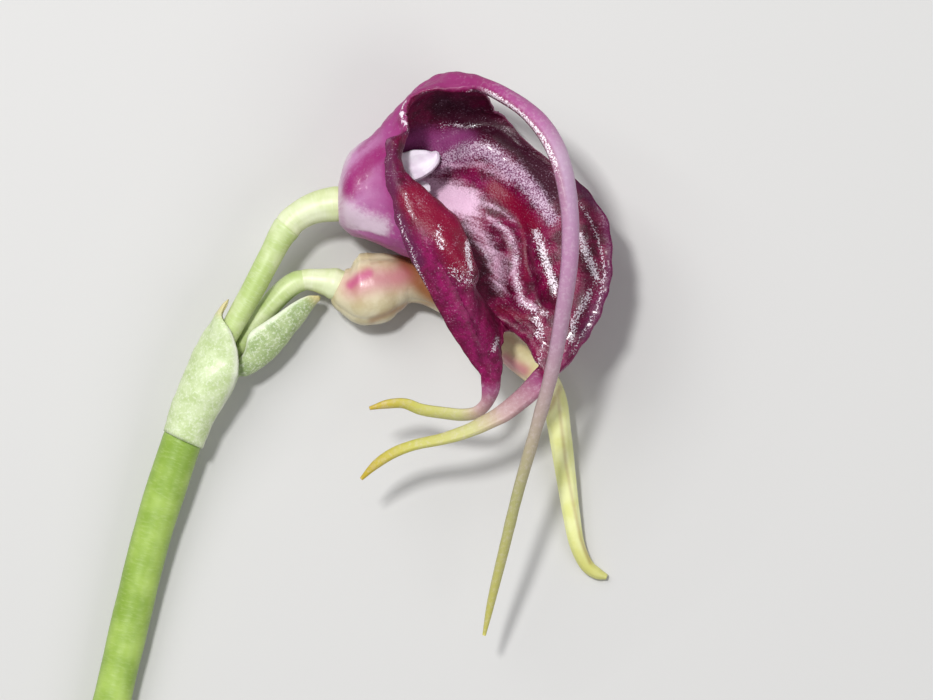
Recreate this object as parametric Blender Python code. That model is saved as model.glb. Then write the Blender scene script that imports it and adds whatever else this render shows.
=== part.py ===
# A cut flower stem of a masdevallia orchid, lying on a surface: the peduncle with its two bracts,
# an open flower (ovary, fused sepals with three tails, petals, column and lip) and a closed bud.
#
# Frame: metres, +Z up from the surface, +Y towards the head of the stem, origin at the middle of
# the base of the bounding box. The open side of the flower looks up, along +Z.
# Design sizes are written in millimetres and turned into metres by MM.

import math

import bmesh
import bpy
from mathutils import Vector

MM = 0.001

# Walls and clearances
SEPAL_WALL = 0.7
PETAL_WALL = 0.6
BRACT_WALL = 0.6

# Fineness of the faceted solids
STEM_ROUNDNESS = 3
BUD_SIDES = 18
LIP_SIDES = 12
TAIL_RINGS = 20
TAIL_BLEND_RINGS = 5
AROUND_STEPS = 3
ALONG_STEPS = (2, 2, 5, 7, 6, 3)

# Peduncle: points of its centre line and the radius there. It is cut square at its first point,
# and narrows where the sheath takes over its outline.
PEDUNCLE = (
    ((-21.05, -29.45, 1.54), 1.62),
    ((-19.4, -22.4, 1.85), 1.58),
    ((-17.65, -15.0, 2.15), 1.62),
    ((-16.4, -10.0, 2.45), 1.62),
    ((-14.9, -5.0, 2.8), 1.68),
    ((-13.62, -1.2, 3.1), 1.7),
    ((-13.47, -0.85, 3.15), 1.05),
    ((-12.5, 1.6, 3.45), 0.95),
    ((-11.75, 3.4, 3.75), 0.85),
)
FLOWER_PEDICEL = (
    ((-11.35, 4.3, 4.0), 0.75),
    ((-10.2, 6.9, 4.4), 0.85),
    ((-8.35, 10.3, 4.7), 0.95),
    ((-7.2, 12.4, 4.85), 0.98),
    ((-6.0, 14.7, 4.95), 1.02),
    ((-5.15, 16.3, 5.0), 1.12),
    ((-4.72, 16.93, 5.03), 1.2),
)
FLOWER_OVARY = (
    ((-4.62, 17.08, 5.05), 1.2),
    ((-4.15, 17.62, 5.08), 1.2),
    ((-2.9, 18.42, 5.15), 1.28),
    ((-1.7, 18.82, 5.2), 1.4),
    ((-0.5, 18.98, 5.2), 1.5),
)
BUD_PEDICEL = (
    ((-8.85, 6.3, 3.05), 0.5),
    ((-7.9, 8.1, 3.1), 0.78),
    ((-6.3, 10.3, 3.1), 0.92),
    ((-5.3, 11.4, 3.1), 0.95),
    ((-4.5, 12.1, 3.1), 0.95),
    ((-3.9, 12.46, 3.1), 0.93),
    ((-3.5, 12.58, 3.1), 0.9),
)
BUD_OVARY = (
    ((-3.34, 12.62, 3.1), 0.88),
    ((-3.0, 12.67, 3.1), 0.9),
    ((-2.2, 12.6, 3.05), 1.0),
    ((-1.4, 12.47, 3.0), 1.18),
    ((-0.75, 12.32, 3.0), 1.36),
)

# Bracts: the keel, the middle between the two margins, the height of that middle, half of the
# width up and down, and the angle from the keel at which a margin ends.
SHEATH = (
    ((-14.9, -0.05), (-13.38, -0.78), 3.3, 1.65, 172),
    ((-14.2, 2.2), (-12.5, 1.5), 3.5, 1.8, 172),
    ((-13.5, 4.0), (-11.6, 3.2), 3.65, 2.0, 160),
    ((-12.9, 5.4), (-10.5, 4.75), 3.7, 2.1, 132),
    ((-12.3, 6.8), (-9.8, 5.6), 3.55, 2.25, 115),
    ((-11.6, 8.0), (-9.56, 7.08), 3.65, 2.25, 112),
    ((-10.9, 8.95), (-9.65, 8.43), 4.3, 1.75, 105),
    ((-10.45, 9.75), (-10.15, 9.6), 4.5, 0.85, 95),
    ((-9.6, 11.0), (-9.57, 10.97), 4.5, 0.3, 90),
)
UPPER_BRACT = (
    ((-8.9, 4.65), (-9.1, 5.6), 3.05, 0.8, 90),
    ((-8.15, 4.75), (-8.3, 6.5), 3.05, 1.1, 90),
    ((-6.6, 5.65), (-7.75, 7.9), 3.05, 1.4, 95),
    ((-5.2, 7.0), (-6.6, 8.95), 3.05, 1.45, 92),
    ((-4.2, 8.3), (-5.4, 9.85), 3.0, 1.4, 90),
    ((-3.2, 9.6), (-4.2, 10.75), 3.0, 1.2, 88),
    ((-2.4, 10.7), (-3.0, 11.35), 3.0, 0.8, 85),
    ((-1.9, 11.2), (-2.1, 11.35), 3.0, 0.3, 80),
)
BRACT_COLUMNS = 14

# Petals, lip and column in the tube. A petal's entries are its middle line and half its width.
NEAR_PETAL = (
    ((1.0, 20.2, 6.25), 0.6),
    ((2.6, 20.75, 6.9), 0.75),
    ((4.2, 21.4, 7.3), 1.0),
    ((5.6, 22.0, 7.4), 1.25),
    ((6.7, 22.45, 7.35), 1.25),
    ((7.5, 22.85, 7.3), 0.8),
    ((7.9, 23.1, 7.25), 0.25),
)
PETAL_MIRROR_HEIGHT = 5.15
PETAL_CUP = 0.35
PETAL_COLUMNS = 6
COLUMN = (
    ((0.7, 19.35, 5.15), 0.8),
    ((2.2, 20.0, 5.15), 0.7),
    ((3.8, 20.75, 5.15), 0.68),
    ((4.9, 21.15, 5.15), 0.8),
    ((5.2, 21.2, 5.15), 0.45),
)
LIP = (
    ((0.95, 17.95, 5.15), 0.5, 0.55),
    ((2.4, 18.1, 5.15), 0.95, 0.5),
    ((4.2, 18.75, 5.2), 1.05, 0.45),
    ((5.7, 19.7, 5.3), 0.95, 0.45),
    ((6.8, 20.25, 5.4), 0.7, 0.4),
    ((7.35, 20.3, 5.4), 0.25, 0.2),
)

# Bud: the middle line, half the width across it and half the height.
BUD = (
    ((-0.4, 12.26, 3.0), 1.45, 1.45),
    ((0.2, 11.98, 2.95), 2.05, 1.95),
    ((0.9, 11.86, 2.9), 2.68, 2.4),
    ((1.6, 11.85, 2.9), 3.03, 2.65),
    ((2.6, 11.97, 2.9), 3.05, 2.65),
    ((4.0, 12.38, 2.85), 2.6, 2.35),
    ((5.5, 12.62, 2.8), 2.0, 2.0),
    ((7.0, 12.3, 2.75), 1.75, 1.8),
    ((9.0, 11.2, 2.7), 1.6, 1.7),
    ((11.0, 9.7, 2.7), 1.5, 1.6),
    ((13.0, 8.0, 2.75), 1.5, 1.5),
    ((15.0, 6.2, 2.8), 1.45, 1.4),
    ((16.6, 4.6, 2.75), 1.25, 1.2),
    ((17.7, 2.8, 2.55), 1.05, 1.0),
    ((18.2, 0.0, 2.2), 0.97, 0.85),
    ((18.7, -3.5, 1.7), 0.86, 0.75),
    ((19.2, -7.0, 1.2), 0.74, 0.65),
    ((19.75, -9.8, 0.85), 0.64, 0.55),
    ((20.6, -11.5, 0.58), 0.57, 0.5),
    ((21.4, -12.1, 0.47), 0.5, 0.45),
    ((22.2, -12.4, 0.35), 0.25, 0.25),
)
BUD_SEAM_DEPTH = 0.05
BUD_SEAMS = 3


def spline_point(before, start, end, after, share):
    """The point at share of the way from start to end on a centripetal Catmull-Rom curve."""
    knots = [0.0]
    for a, b in ((before, start), (start, end), (end, after)):
        knots.append(knots[-1] + max((b - a).length, 1e-6) ** 0.5)
    t = knots[1] + share * (knots[2] - knots[1])

    def mix(a, b, ta, tb):
        return a * ((tb - t) / (tb - ta)) + b * ((t - ta) / (tb - ta))

    first = mix(before, start, knots[0], knots[1])
    middle = mix(start, end, knots[1], knots[2])
    last = mix(end, after, knots[2], knots[3])
    left = mix(first, middle, knots[0], knots[2])
    right = mix(middle, last, knots[1], knots[3])
    return mix(left, right, knots[1], knots[2])


def curve_through(points, steps, closed=False):
    """Points of a smooth curve through the given ones, with steps[i] equal shares in span i."""
    points = [Vector(p) for p in points]
    count = len(points)
    spans = count if closed else count - 1
    if isinstance(steps, int):
        steps = [steps] * spans
    found = []
    for i in range(spans):
        start, end = points[i], points[(i + 1) % count]
        if closed:
            before, after = points[i - 1], points[(i + 2) % count]
        else:
            before = points[i - 1] if i else start * 2 - end
            after = points[i + 2] if i + 2 < count else end * 2 - start
        found += [spline_point(before, start, end, after, k / steps[i]) for k in range(steps[i])]
    return found if closed else found + [points[-1]]


def material(name, colour, roughness):
    made = bpy.data.materials.new(name)
    made.use_nodes = True
    shader = made.node_tree.nodes["Principled BSDF"]
    shader.inputs["Base Color"].default_value = (*colour, 1.0)
    shader.inputs["Roughness"].default_value = roughness
    shader.inputs["Metallic"].default_value = 0.0
    return made


def place(obj, finish, collection):
    obj.data.materials.append(finish)
    collection.objects.link(obj)
    return obj


def stem(name, route, finish, collection, steps=3):
    """A round stalk along route, whose radius follows the route's radii."""
    line = bpy.data.curves.new(name, "CURVE")
    line.dimensions = "3D"
    line.bevel_depth = MM
    line.bevel_resolution = STEM_ROUNDNESS
    line.use_fill_caps = True
    centres = curve_through([p for p, _ in route], steps)
    radii = curve_through([(r, 0.0, 0.0) for _, r in route], steps)
    spline = line.splines.new("POLY")
    spline.points.add(len(centres) - 1)
    for point, centre, radius in zip(spline.points, centres, radii):
        point.co = (*(centre * MM), 1.0)
        point.radius = radius.x
    return place(bpy.data.objects.new(name, line), finish, collection)


def mesh_object(name, points, faces, finish, collection):
    """An object of these points, in millimetres, and faces, with its normals pointing out."""
    mesh = bpy.data.meshes.new(name)
    mesh.from_pydata([tuple(p * MM) for p in points], [], faces)
    shape = bmesh.new()
    shape.from_mesh(mesh)
    bmesh.ops.recalc_face_normals(shape, faces=shape.faces)
    shape.to_mesh(mesh)
    shape.free()
    mesh.shade_smooth()
    return place(bpy.data.objects.new(name, mesh), finish, collection)


def grid_normals(grid, closed):
    """Unit normals of a grid of points, whose rows run round and columns run along."""
    rows, columns = len(grid), len(grid[0])
    normals = []
    for j in range(rows):
        line = []
        for i in range(columns):
            left = grid[j][i - 1] if i or closed else grid[j][i]
            right = grid[j][(i + 1) % columns] if i + 1 < columns or closed else grid[j][i]
            along = grid[min(j + 1, rows - 1)][i] - grid[max(j - 1, 0)][i]
            line.append((right - left).cross(along).normalized())
        normals.append(line)
    return normals


def smooth_share(low, high, value):
    """0 on low's side, 1 on high's side, and a smooth rise between them."""
    share = min(1.0, max(0.0, (value - low) / (high - low)))
    return share * share * (3 - 2 * share)


def tail_rings(loop, route, rings):
    """Rings that carry on from the loop of points along route, from the loop's shape to an ellipse.

    Each route entry is a centre, a width and a thickness. The last ring is at the tail's tip.
    """
    start = sum(loop, Vector()) / len(loop)
    spans = max(1, rings // len(route))
    centres = curve_through([start] + [p for p, _, _ in route], spans)
    sizes = curve_through([(w, t, 0.0) for _, w, t in (route[0], *route)], spans)
    direction = (centres[1] - centres[0]).normalized()
    across = loop[len(loop) // 2 - 1] - loop[0]
    across = (across - direction * across.dot(direction)).normalized()
    up = direction.cross(across)
    flat = [((p - start).dot(across), (p - start).dot(up)) for p in loop]
    lengths = [0.0]
    for i in range(len(loop)):
        step = Vector(flat[(i + 1) % len(loop)]) - Vector(flat[i])
        lengths.append(lengths[-1] + step.length)
    turn = math.atan2(flat[0][1], flat[0][0])
    area = sum(
        flat[i][0] * flat[(i + 1) % len(flat)][1] - flat[(i + 1) % len(flat)][0] * flat[i][1]
        for i in range(len(flat))
    )
    sense = 1 if area > 0 else -1
    angles = [turn + sense * 2 * math.pi * s / lengths[-1] for s in lengths[:-1]]
    made = []
    for k in range(1, len(centres)):
        ahead = centres[min(k + 1, len(centres) - 1)] - centres[k - 1]
        direction = ahead.normalized()
        across = (across - direction * across.dot(direction)).normalized()
        up = direction.cross(across)
        share = smooth_share(0, TAIL_BLEND_RINGS, k)
        width, depth = sizes[k].x / 2, sizes[k].y / 2
        ring = []
        for (a, b), angle in zip(flat, angles):
            x = a * (1 - share) + math.cos(angle) * width * share
            y = b * (1 - share) + math.sin(angle) * depth * share
            ring.append(centres[k] + across * x + up * y)
        made.append(ring)
    return made


def shell(name, grid, wall, finish, collection, closed=True, base_cap=False, tails=()):
    """A sheet of even wall on both sides of the grid. tails are (first column, last column, route)."""
    rows, columns = len(grid), len(grid[0])
    normals = grid_normals(grid, closed)
    points = []
    for side in (-0.5, 0.5):
        for j in range(rows):
            points += [grid[j][i] + normals[j][i] * wall * side for i in range(columns)]
    back = rows * columns

    def at(j, i, side):
        return side * back + j * columns + i % columns

    faces = []
    for j in range(rows - 1):
        for i in range(columns if closed else columns - 1):
            faces.append((at(j, i, 0), at(j, i + 1, 0), at(j + 1, i + 1, 0), at(j + 1, i, 0)))
            faces.append((at(j, i, 1), at(j + 1, i, 1), at(j + 1, i + 1, 1), at(j, i + 1, 1)))
    under_tails = {i % columns for first, last, _ in tails for i in range(first, last)}
    for i in range(columns if closed else columns - 1):
        if i not in under_tails:
            top = rows - 1
            faces.append((at(top, i, 0), at(top, i + 1, 0), at(top, i + 1, 1), at(top, i, 1)))
        if not base_cap:
            faces.append((at(0, i, 1), at(0, i + 1, 1), at(0, i + 1, 0), at(0, i, 0)))
    if base_cap:
        faces.append(tuple(at(0, i, 0) for i in range(columns)))
        faces.append(tuple(at(0, i, 1) for i in reversed(range(columns))))
    if not closed:
        for j in range(rows - 1):
            for i in (0, columns - 1):
                faces.append((at(j, i, 0), at(j + 1, i, 0), at(j + 1, i, 1), at(j, i, 1)))
    for first, last, route in tails:
        loop = [at(rows - 1, i, 0) for i in range(first, last + 1)]
        loop += [at(rows - 1, i, 1) for i in range(last, first - 1, -1)]
        rings = tail_rings([points[k] for k in loop], route, TAIL_RINGS)
        for ring in rings:
            new = list(range(len(points), len(points) + len(ring)))
            points += ring
            count = len(loop)
            faces += [
                (loop[k], loop[(k + 1) % count], new[(k + 1) % count], new[k])
                for k in range(count)
            ]
            loop = new
        faces.append(tuple(loop))
    return mesh_object(name, points, faces, finish, collection)


def loft(name, rings, finish, collection):
    """A solid whose skin runs through the rings, with both ends closed."""
    count = len(rings[0])
    points = [p for ring in rings for p in ring]
    faces = []
    for j in range(len(rings) - 1):
        for i in range(count):
            k = (i + 1) % count
            faces.append((j * count + i, j * count + k, (j + 1) * count + k, (j + 1) * count + i))
    faces.append(tuple(range(count)))
    faces.append(tuple(reversed(range(len(points) - count, len(points)))))
    return mesh_object(name, points, faces, finish, collection)


# Calyx of the open flower. It leaves the ovary as a round tube and widens to the shoulder.
TUBE_START = Vector((-0.05, 19.0, 5.2))
TUBE_START_RADIUS = 1.55
SHOULDER = Vector((0.75, 19.85, 5.0))
SHOULDER_HALF_HEIGHT = 3.1
SHOULDER_HALF_DEPTH = 3.7

# Each vein: the angle at which it leaves the ovary, 0 at the dorsal side and growing over the side
# that looks up, then the places that it passes from the tube through the throat to the margin.
CALYX_VEINS = (
    (0, (2.6, 24.5, 4.9), (4.7, 26.7, 6.0), (7.1, 28.9, 7.4), (9.1, 29.6, 9.0), (11.2, 29.3, 10.0)),
    (353, (2.6, 24.4, 4.2), (4.9, 26.7, 5.2), (7.4, 28.8, 6.4), (9.3, 29.4, 7.9), (11.2, 29.0, 9.1)),
    (338, (2.8, 24.1, 3.2), (5.5, 26.3, 4.0), (8.1, 28.2, 5.0), (9.8, 28.6, 6.2), (11.6, 28.4, 7.4)),
    (320, (3.0, 23.5, 2.0), (6.3, 25.5, 2.8), (9.0, 27.0, 3.6), (10.9, 27.5, 4.4), (12.4, 27.4, 5.2)),
    (300, (3.0, 22.5, 1.1), (7.2, 24.4, 1.9), (10.6, 25.6, 2.9), (12.3, 26.2, 3.2), (13.5, 26.2, 3.6)),
    (282, (2.9, 21.3, 0.6), (7.6, 22.7, 1.8), (12.0, 23.5, 3.9), (14.6, 23.9, 3.4), (16.5, 23.3, 4.2)),
    (265, (2.8, 20.2, 0.35), (7.7, 20.9, 2.0), (12.7, 20.7, 4.0), (17.3, 20.6, 5.6), (19.6, 20.9, 6.4)),
    (250, (2.7, 19.1, 0.7), (7.7, 19.3, 2.5), (13.2, 18.2, 4.6), (18.9, 17.8, 7.6), (21.8, 18.2, 8.2)),
    (237, (2.5, 18.2, 1.2), (7.6, 17.8, 3.2), (13.3, 16.2, 5.0), (19.4, 14.6, 8.6), (22.6, 14.4, 9.2)),
    (224, (2.3, 17.4, 2.1), (7.5, 16.6, 4.0), (13.3, 14.0, 5.6), (19.0, 11.3, 8.9), (21.9, 10.8, 9.6)),
    (213, (2.2, 16.8, 3.0), (7.4, 15.8, 4.7), (13.1, 12.3, 6.1), (18.0, 8.7, 9.0), (20.3, 7.5, 9.8)),
    (205, (2.1, 16.5, 3.7), (7.3, 15.2, 5.2), (12.9, 11.3, 6.5), (17.2, 7.7, 9.0), (18.3, 5.1, 9.6)),
    (200, (2.1, 16.4, 4.2), (7.2, 14.9, 5.5), (12.7, 10.9, 6.8), (16.7, 7.5, 9.0), (17.4, 4.6, 9.5)),
    (195, (2.1, 16.3, 4.7), (7.1, 14.7, 5.8), (12.5, 10.7, 7.0), (16.0, 7.6, 8.7), (16.5, 5.4, 9.2)),
    (188, (2.1, 16.25, 5.2), (6.9, 14.4, 6.2), (11.9, 10.9, 7.2), (14.2, 8.8, 8.1), (15.7, 7.1, 8.5)),
    (180, (2.1, 16.25, 5.9), (6.7, 14.2, 6.7), (11.2, 11.0, 7.6), (12.7, 9.4, 8.0), (13.5, 8.4, 8.1)),
    (171, (2.1, 16.35, 6.6), (6.6, 14.4, 7.5), (10.8, 11.7, 8.9), (12.5, 9.0, 9.1), (13.3, 6.5, 8.7)),
    (163, (2.1, 16.5, 7.2), (6.5, 14.8, 8.4), (10.4, 12.6, 10.2), (12.1, 8.4, 10.0), (13.1, 4.7, 8.9)),
    (157, (2.2, 16.7, 7.6), (6.5, 15.1, 9.0), (10.2, 13.3, 11.1), (11.5, 8.3, 10.8), (12.4, 4.3, 9.1)),
    (150, (2.2, 17.0, 8.0), (6.5, 15.5, 9.6), (10.2, 14.1, 11.8), (10.9, 9.0, 11.7), (11.6, 4.8, 9.2)),
    (138, (2.4, 17.6, 8.5), (6.5, 16.4, 10.3), (10.3, 15.4, 12.5), (9.8, 11.6, 12.9), (9.2, 8.1, 11.2)),
    (122, (2.6, 18.7, 9.0), (6.2, 17.9, 10.7), (9.5, 17.3, 12.8), (7.9, 14.7, 13.8), (6.2, 13.6, 12.6)),
    (105, (2.8, 20.1, 9.1), (5.2, 19.5, 10.6), (7.3, 19.4, 12.3), (5.8, 18.2, 13.0), (4.5, 17.7, 12.4)),
    (88, (2.9, 21.4, 8.9), (4.2, 21.4, 9.9), (5.0, 21.6, 11.1), (4.5, 21.4, 11.8), (3.8, 21.2, 11.4)),
    (73, (3.1, 22.5, 8.6), (4.1, 23.0, 9.3), (4.8, 23.4, 10.0), (4.4, 23.7, 10.7), (3.7, 23.9, 10.6)),
    (60, (3.2, 23.3, 8.2), (4.3, 24.2, 8.7), (5.2, 24.7, 9.2), (5.4, 25.0, 9.6), (5.6, 25.2, 9.9)),
    (44, (3.1, 24.0, 7.6), (4.2, 25.2, 8.1), (4.9, 26.0, 8.7), (5.1, 26.4, 9.2), (5.2, 26.6, 9.7)),
    (26, (2.9, 24.4, 6.8), (4.4, 26.2, 7.7), (5.9, 27.7, 8.8), (6.5, 28.1, 9.6), (7.0, 28.3, 10.3)),
    (7, (2.7, 24.5, 5.6), (4.7, 26.6, 6.9), (7.2, 28.7, 8.4), (9.2, 29.0, 9.9), (11.0, 28.5, 10.7)),
)

# Tails: the places on the centre line, with the width and the thickness there
DORSAL_TAIL = (
    ((13.0, 28.2, 11.7), 2.0, 1.3),
    ((15.4, 26.5, 13.4), 2.1, 1.35),
    ((17.0, 24.6, 14.6), 2.1, 1.4),
    ((18.1, 22.2, 15.5), 2.0, 1.4),
    ((18.8, 18.4, 16.1), 1.7, 1.4),
    ((18.85, 14.5, 16.0), 1.58, 1.4),
    ((18.35, 10.3, 15.3), 1.48, 1.3),
    ((17.4, 5.0, 14.0), 1.32, 1.2),
    ((16.05, 0.0, 12.3), 1.15, 1.05),
    ((14.65, -5.0, 10.4), 1.03, 0.95),
    ((13.45, -10.0, 8.5), 0.92, 0.85),
    ((12.45, -14.2, 6.8), 0.72, 0.7),
    ((11.85, -17.1, 5.7), 0.3, 0.3),
)
RIGHT_TAIL = (
    ((16.4, 4.0, 9.9), 1.9, 1.2),
    ((15.0, 2.75, 10.2), 1.8, 1.2),
    ((13.4, 1.5, 10.3), 1.6, 1.15),
    ((12.0, 0.75, 10.3), 1.45, 1.1),
    ((10.5, 0.05, 10.1), 1.25, 1.0),
    ((8.5, -0.6, 9.7), 1.05, 0.9),
    ((6.0, -1.15, 9.0), 0.95, 0.85),
    ((4.3, -1.8, 8.5), 0.95, 0.8),
    ((2.8, -2.8, 8.0), 0.8, 0.7),
    ((1.6, -4.0, 7.6), 0.3, 0.3),
)
LEFT_TAIL = (
    ((12.35, 3.3, 8.9), 1.4, 0.9),
    ((12.0, 2.3, 8.6), 1.15, 0.9),
    ((11.2, 1.55, 8.4), 1.1, 0.9),
    ((10.1, 1.35, 8.3), 1.1, 0.9),
    ((8.5, 1.5, 8.3), 1.1, 0.9),
    ((6.6, 1.8, 8.5), 1.05, 0.85),
    ((5.2, 2.3, 8.7), 0.95, 0.8),
    ((3.8, 2.25, 8.8), 0.8, 0.7),
    ((2.3, 1.9, 8.7), 0.3, 0.3),
)

# The veins at whose ends the tails grow, counted round from the dorsal one
TAILS = ((0, DORSAL_TAIL), (12, RIGHT_TAIL), (18, LEFT_TAIL))

# Folds: the veins between which a fold runs, the place in a vein from which it rises, half its
# width, its height on the inner face, and the line of its crest seen from above
FOLDS = (
    (5, 14, 2, 0.85, 0.7, ((12.4, 17.8), (14.3, 15.3), (14.3, 13.7), (15.2, 10.8), (17.0, 9.8))),
    (5, 12, 2, 0.9, 0.8, ((16.2, 17.2), (17.1, 13.8), (17.8, 11.8), (17.9, 10.2))),
    (3, 9, 2, 0.9, 0.8, ((9.0, 22.8), (12.0, 23.9), (14.6, 21.9), (15.9, 20.1), (17.4, 17.8))),
    (5, 12, 2, 0.8, -0.4, ((12.6, 19.6), (14.6, 17.8), (15.5, 15.6), (15.6, 13.4), (16.4, 11.6))),
    (6, 12, 3, 0.6, 0.5, ((19.8, 18.9), (21.5, 15.0), (21.7, 12.6), (21.0, 10.2), (19.4, 7.2))),
    (6, 12, 3, 0.7, 0.5, ((19.9, 16.6), (20.6, 14.4), (20.8, 12.6), (20.3, 10.8), (19.2, 8.2))),
    (15, 25, 3, 0.8, 0.6, ((8.2, 17.0), (8.6, 15.4), (9.9, 13.4), (11.0, 12.0))),
    (15, 25, 3, 0.6, -0.4, ((7.2, 15.8), (8.8, 13.2), (9.6, 11.4), (10.8, 9.0), (11.6, 6.6))),
)
FOLD_ENDS = 0.2
RIM_WAVE_HEIGHT = 0.2
RIM_WAVE_VEINS = 1.5
RIM_WAVE_START = 4.8


def calyx_row(place_in_vein):
    """One control row of the calyx: every vein's point at that place, 0 at the ovary."""
    row = []
    for angle, *places in CALYX_VEINS:
        turn = math.radians(angle)
        up, out = math.cos(turn), math.sin(turn)
        if place_in_vein == 0:
            row.append(TUBE_START + Vector((0.0, up, out)) * TUBE_START_RADIUS)
        elif place_in_vein == 1:
            offset = Vector((0.0, up * SHOULDER_HALF_HEIGHT, out * SHOULDER_HALF_DEPTH))
            row.append(SHOULDER + offset)
        else:
            row.append(Vector(places[place_in_vein - 2]))
    return row


def calyx_grid():
    """Points over the calyx, rows from the ovary to the margin, columns round from the dorsal vein."""
    places = range(len(ALONG_STEPS) + 1)
    rows = [curve_through(calyx_row(k), AROUND_STEPS, closed=True) for k in places]
    columns = [curve_through(list(line), ALONG_STEPS) for line in zip(*rows)]
    return [list(line) for line in zip(*columns)]


def row_places():
    """The place in a vein of each row of the calyx's grid."""
    places = [k + s / steps for k, steps in enumerate(ALONG_STEPS) for s in range(steps)]
    return places + [float(len(ALONG_STEPS))]


def distance_to_line(x, y, line):
    """How far the point is from the line, and the share of the line at its nearest place."""
    nearest, share_there = math.inf, 0.0
    for k, ((ax, ay), (bx, by)) in enumerate(zip(line, line[1:])):
        dx, dy = bx - ax, by - ay
        share = min(1.0, max(0.0, ((x - ax) * dx + (y - ay) * dy) / (dx * dx + dy * dy)))
        away = math.hypot(x - ax - dx * share, y - ay - dy * share)
        if away < nearest:
            nearest, share_there = away, (k + share) / (len(line) - 1)
    return nearest, share_there


def fold_height(point, vein, place):
    """How far the folds lift the inner face at this point."""
    height = 0.0
    for first, last, start, half_width, lift, line in FOLDS:
        inside = smooth_share(first - 1, first, vein) * smooth_share(last + 1, last, vein)
        inside *= smooth_share(start, start + 1, place)
        if inside:
            away, along = distance_to_line(point.x, point.y, line)
            inside *= smooth_share(0, FOLD_ENDS, along) * smooth_share(1, 1 - FOLD_ENDS, along)
            height += inside * lift * math.exp(-((away / half_width) ** 2))
    return height * smooth_share(len(ALONG_STEPS), RIM_WAVE_START, place)


def rim_wave(vein, place):
    """How far the margin's waves lift it at this vein, away from the tails."""
    veins = len(CALYX_VEINS)
    from_tail = min(abs((vein - tail + veins / 2) % veins - veins / 2) for tail, _ in TAILS)
    height = RIM_WAVE_HEIGHT * math.sin(2 * math.pi * vein / RIM_WAVE_VEINS)
    return height * smooth_share(1, 3, from_tail) * smooth_share(RIM_WAVE_START, len(ALONG_STEPS), place)


def make_calyx(finish, collection):
    grid = calyx_grid()
    normals = grid_normals(grid, True)
    for place, row, lifted in zip(row_places(), grid, normals):
        for i, point in enumerate(row):
            vein = i / AROUND_STEPS
            row[i] = point + lifted[i] * (fold_height(point, vein, place) + rim_wave(vein, place))
    tails = [((vein - 1) * AROUND_STEPS, (vein + 1) * AROUND_STEPS, route) for vein, route in TAILS]
    shell("flower_sepals", grid, SEPAL_WALL, finish, collection, base_cap=True, tails=tails)


def make_bract(name, route, finish, collection):
    """A folded bract, whose rows run along route and columns from one margin round the keel."""
    keels = curve_through([(*keel, height) for keel, _, height, _, _ in route], 2)
    middles = curve_through([(*middle, height) for _, middle, height, _, _ in route], 2)
    spreads = curve_through([(half, math.radians(reach), 0.0) for *_, half, reach in route], 2)
    grid = []
    for keel, middle, spread in zip(keels, middles, spreads):
        row = []
        for k in range(BRACT_COLUMNS + 1):
            angle = spread.y * (2 * k / BRACT_COLUMNS - 1)
            row.append(middle + (keel - middle) * math.cos(angle))
            row[-1].z += spread.x * math.sin(angle)
        grid.append(row)
    return shell(name, grid, BRACT_WALL, finish, collection, closed=False)


def make_petal(name, mirrored, finish, collection):
    """A strap with a cupped face, on one side of the column or the other."""
    middles = curve_through([p for p, _ in NEAR_PETAL], 2)
    halves = curve_through([(half, 0.0, 0.0) for _, half in NEAR_PETAL], 2)
    grid = []
    for j, (middle, half) in enumerate(zip(middles, halves)):
        along = middles[min(j + 1, len(middles) - 1)] - middles[max(j - 1, 0)]
        across = along.cross(Vector((0.0, 0.0, 1.0))).normalized()
        row = []
        for k in range(PETAL_COLUMNS + 1):
            side = 2 * k / PETAL_COLUMNS - 1
            point = middle + across * half.x * side
            point.z += PETAL_CUP * half.x * side * side
            if mirrored:
                point.z = 2 * PETAL_MIRROR_HEIGHT - point.z
            row.append(point)
        grid.append(row)
    return shell(name, grid, PETAL_WALL, finish, collection, closed=False)


def rings_along(route, sides, steps, seam_depth=0.0):
    """Ellipses across a line that lies level, with half widths and half heights of their own."""
    centres = curve_through([p for p, _, _ in route], steps)
    halves = curve_through([(width, height, 0.0) for _, width, height in route], steps)
    rings = []
    for j, (centre, half) in enumerate(zip(centres, halves)):
        along = centres[min(j + 1, len(centres) - 1)] - centres[max(j - 1, 0)]
        across = along.cross(Vector((0.0, 0.0, 1.0))).normalized()
        up = across.cross(along).normalized()
        ring = []
        for k in range(sides):
            angle = 2 * math.pi * (k + 0.5) / sides
            swell = 1 + seam_depth * math.cos(BUD_SEAMS * angle - math.pi / 2)
            ring.append(
                centre
                + across * half.x * swell * math.cos(angle)
                + up * half.y * swell * math.sin(angle)
            )
        rings.append(ring)
    return rings


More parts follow.
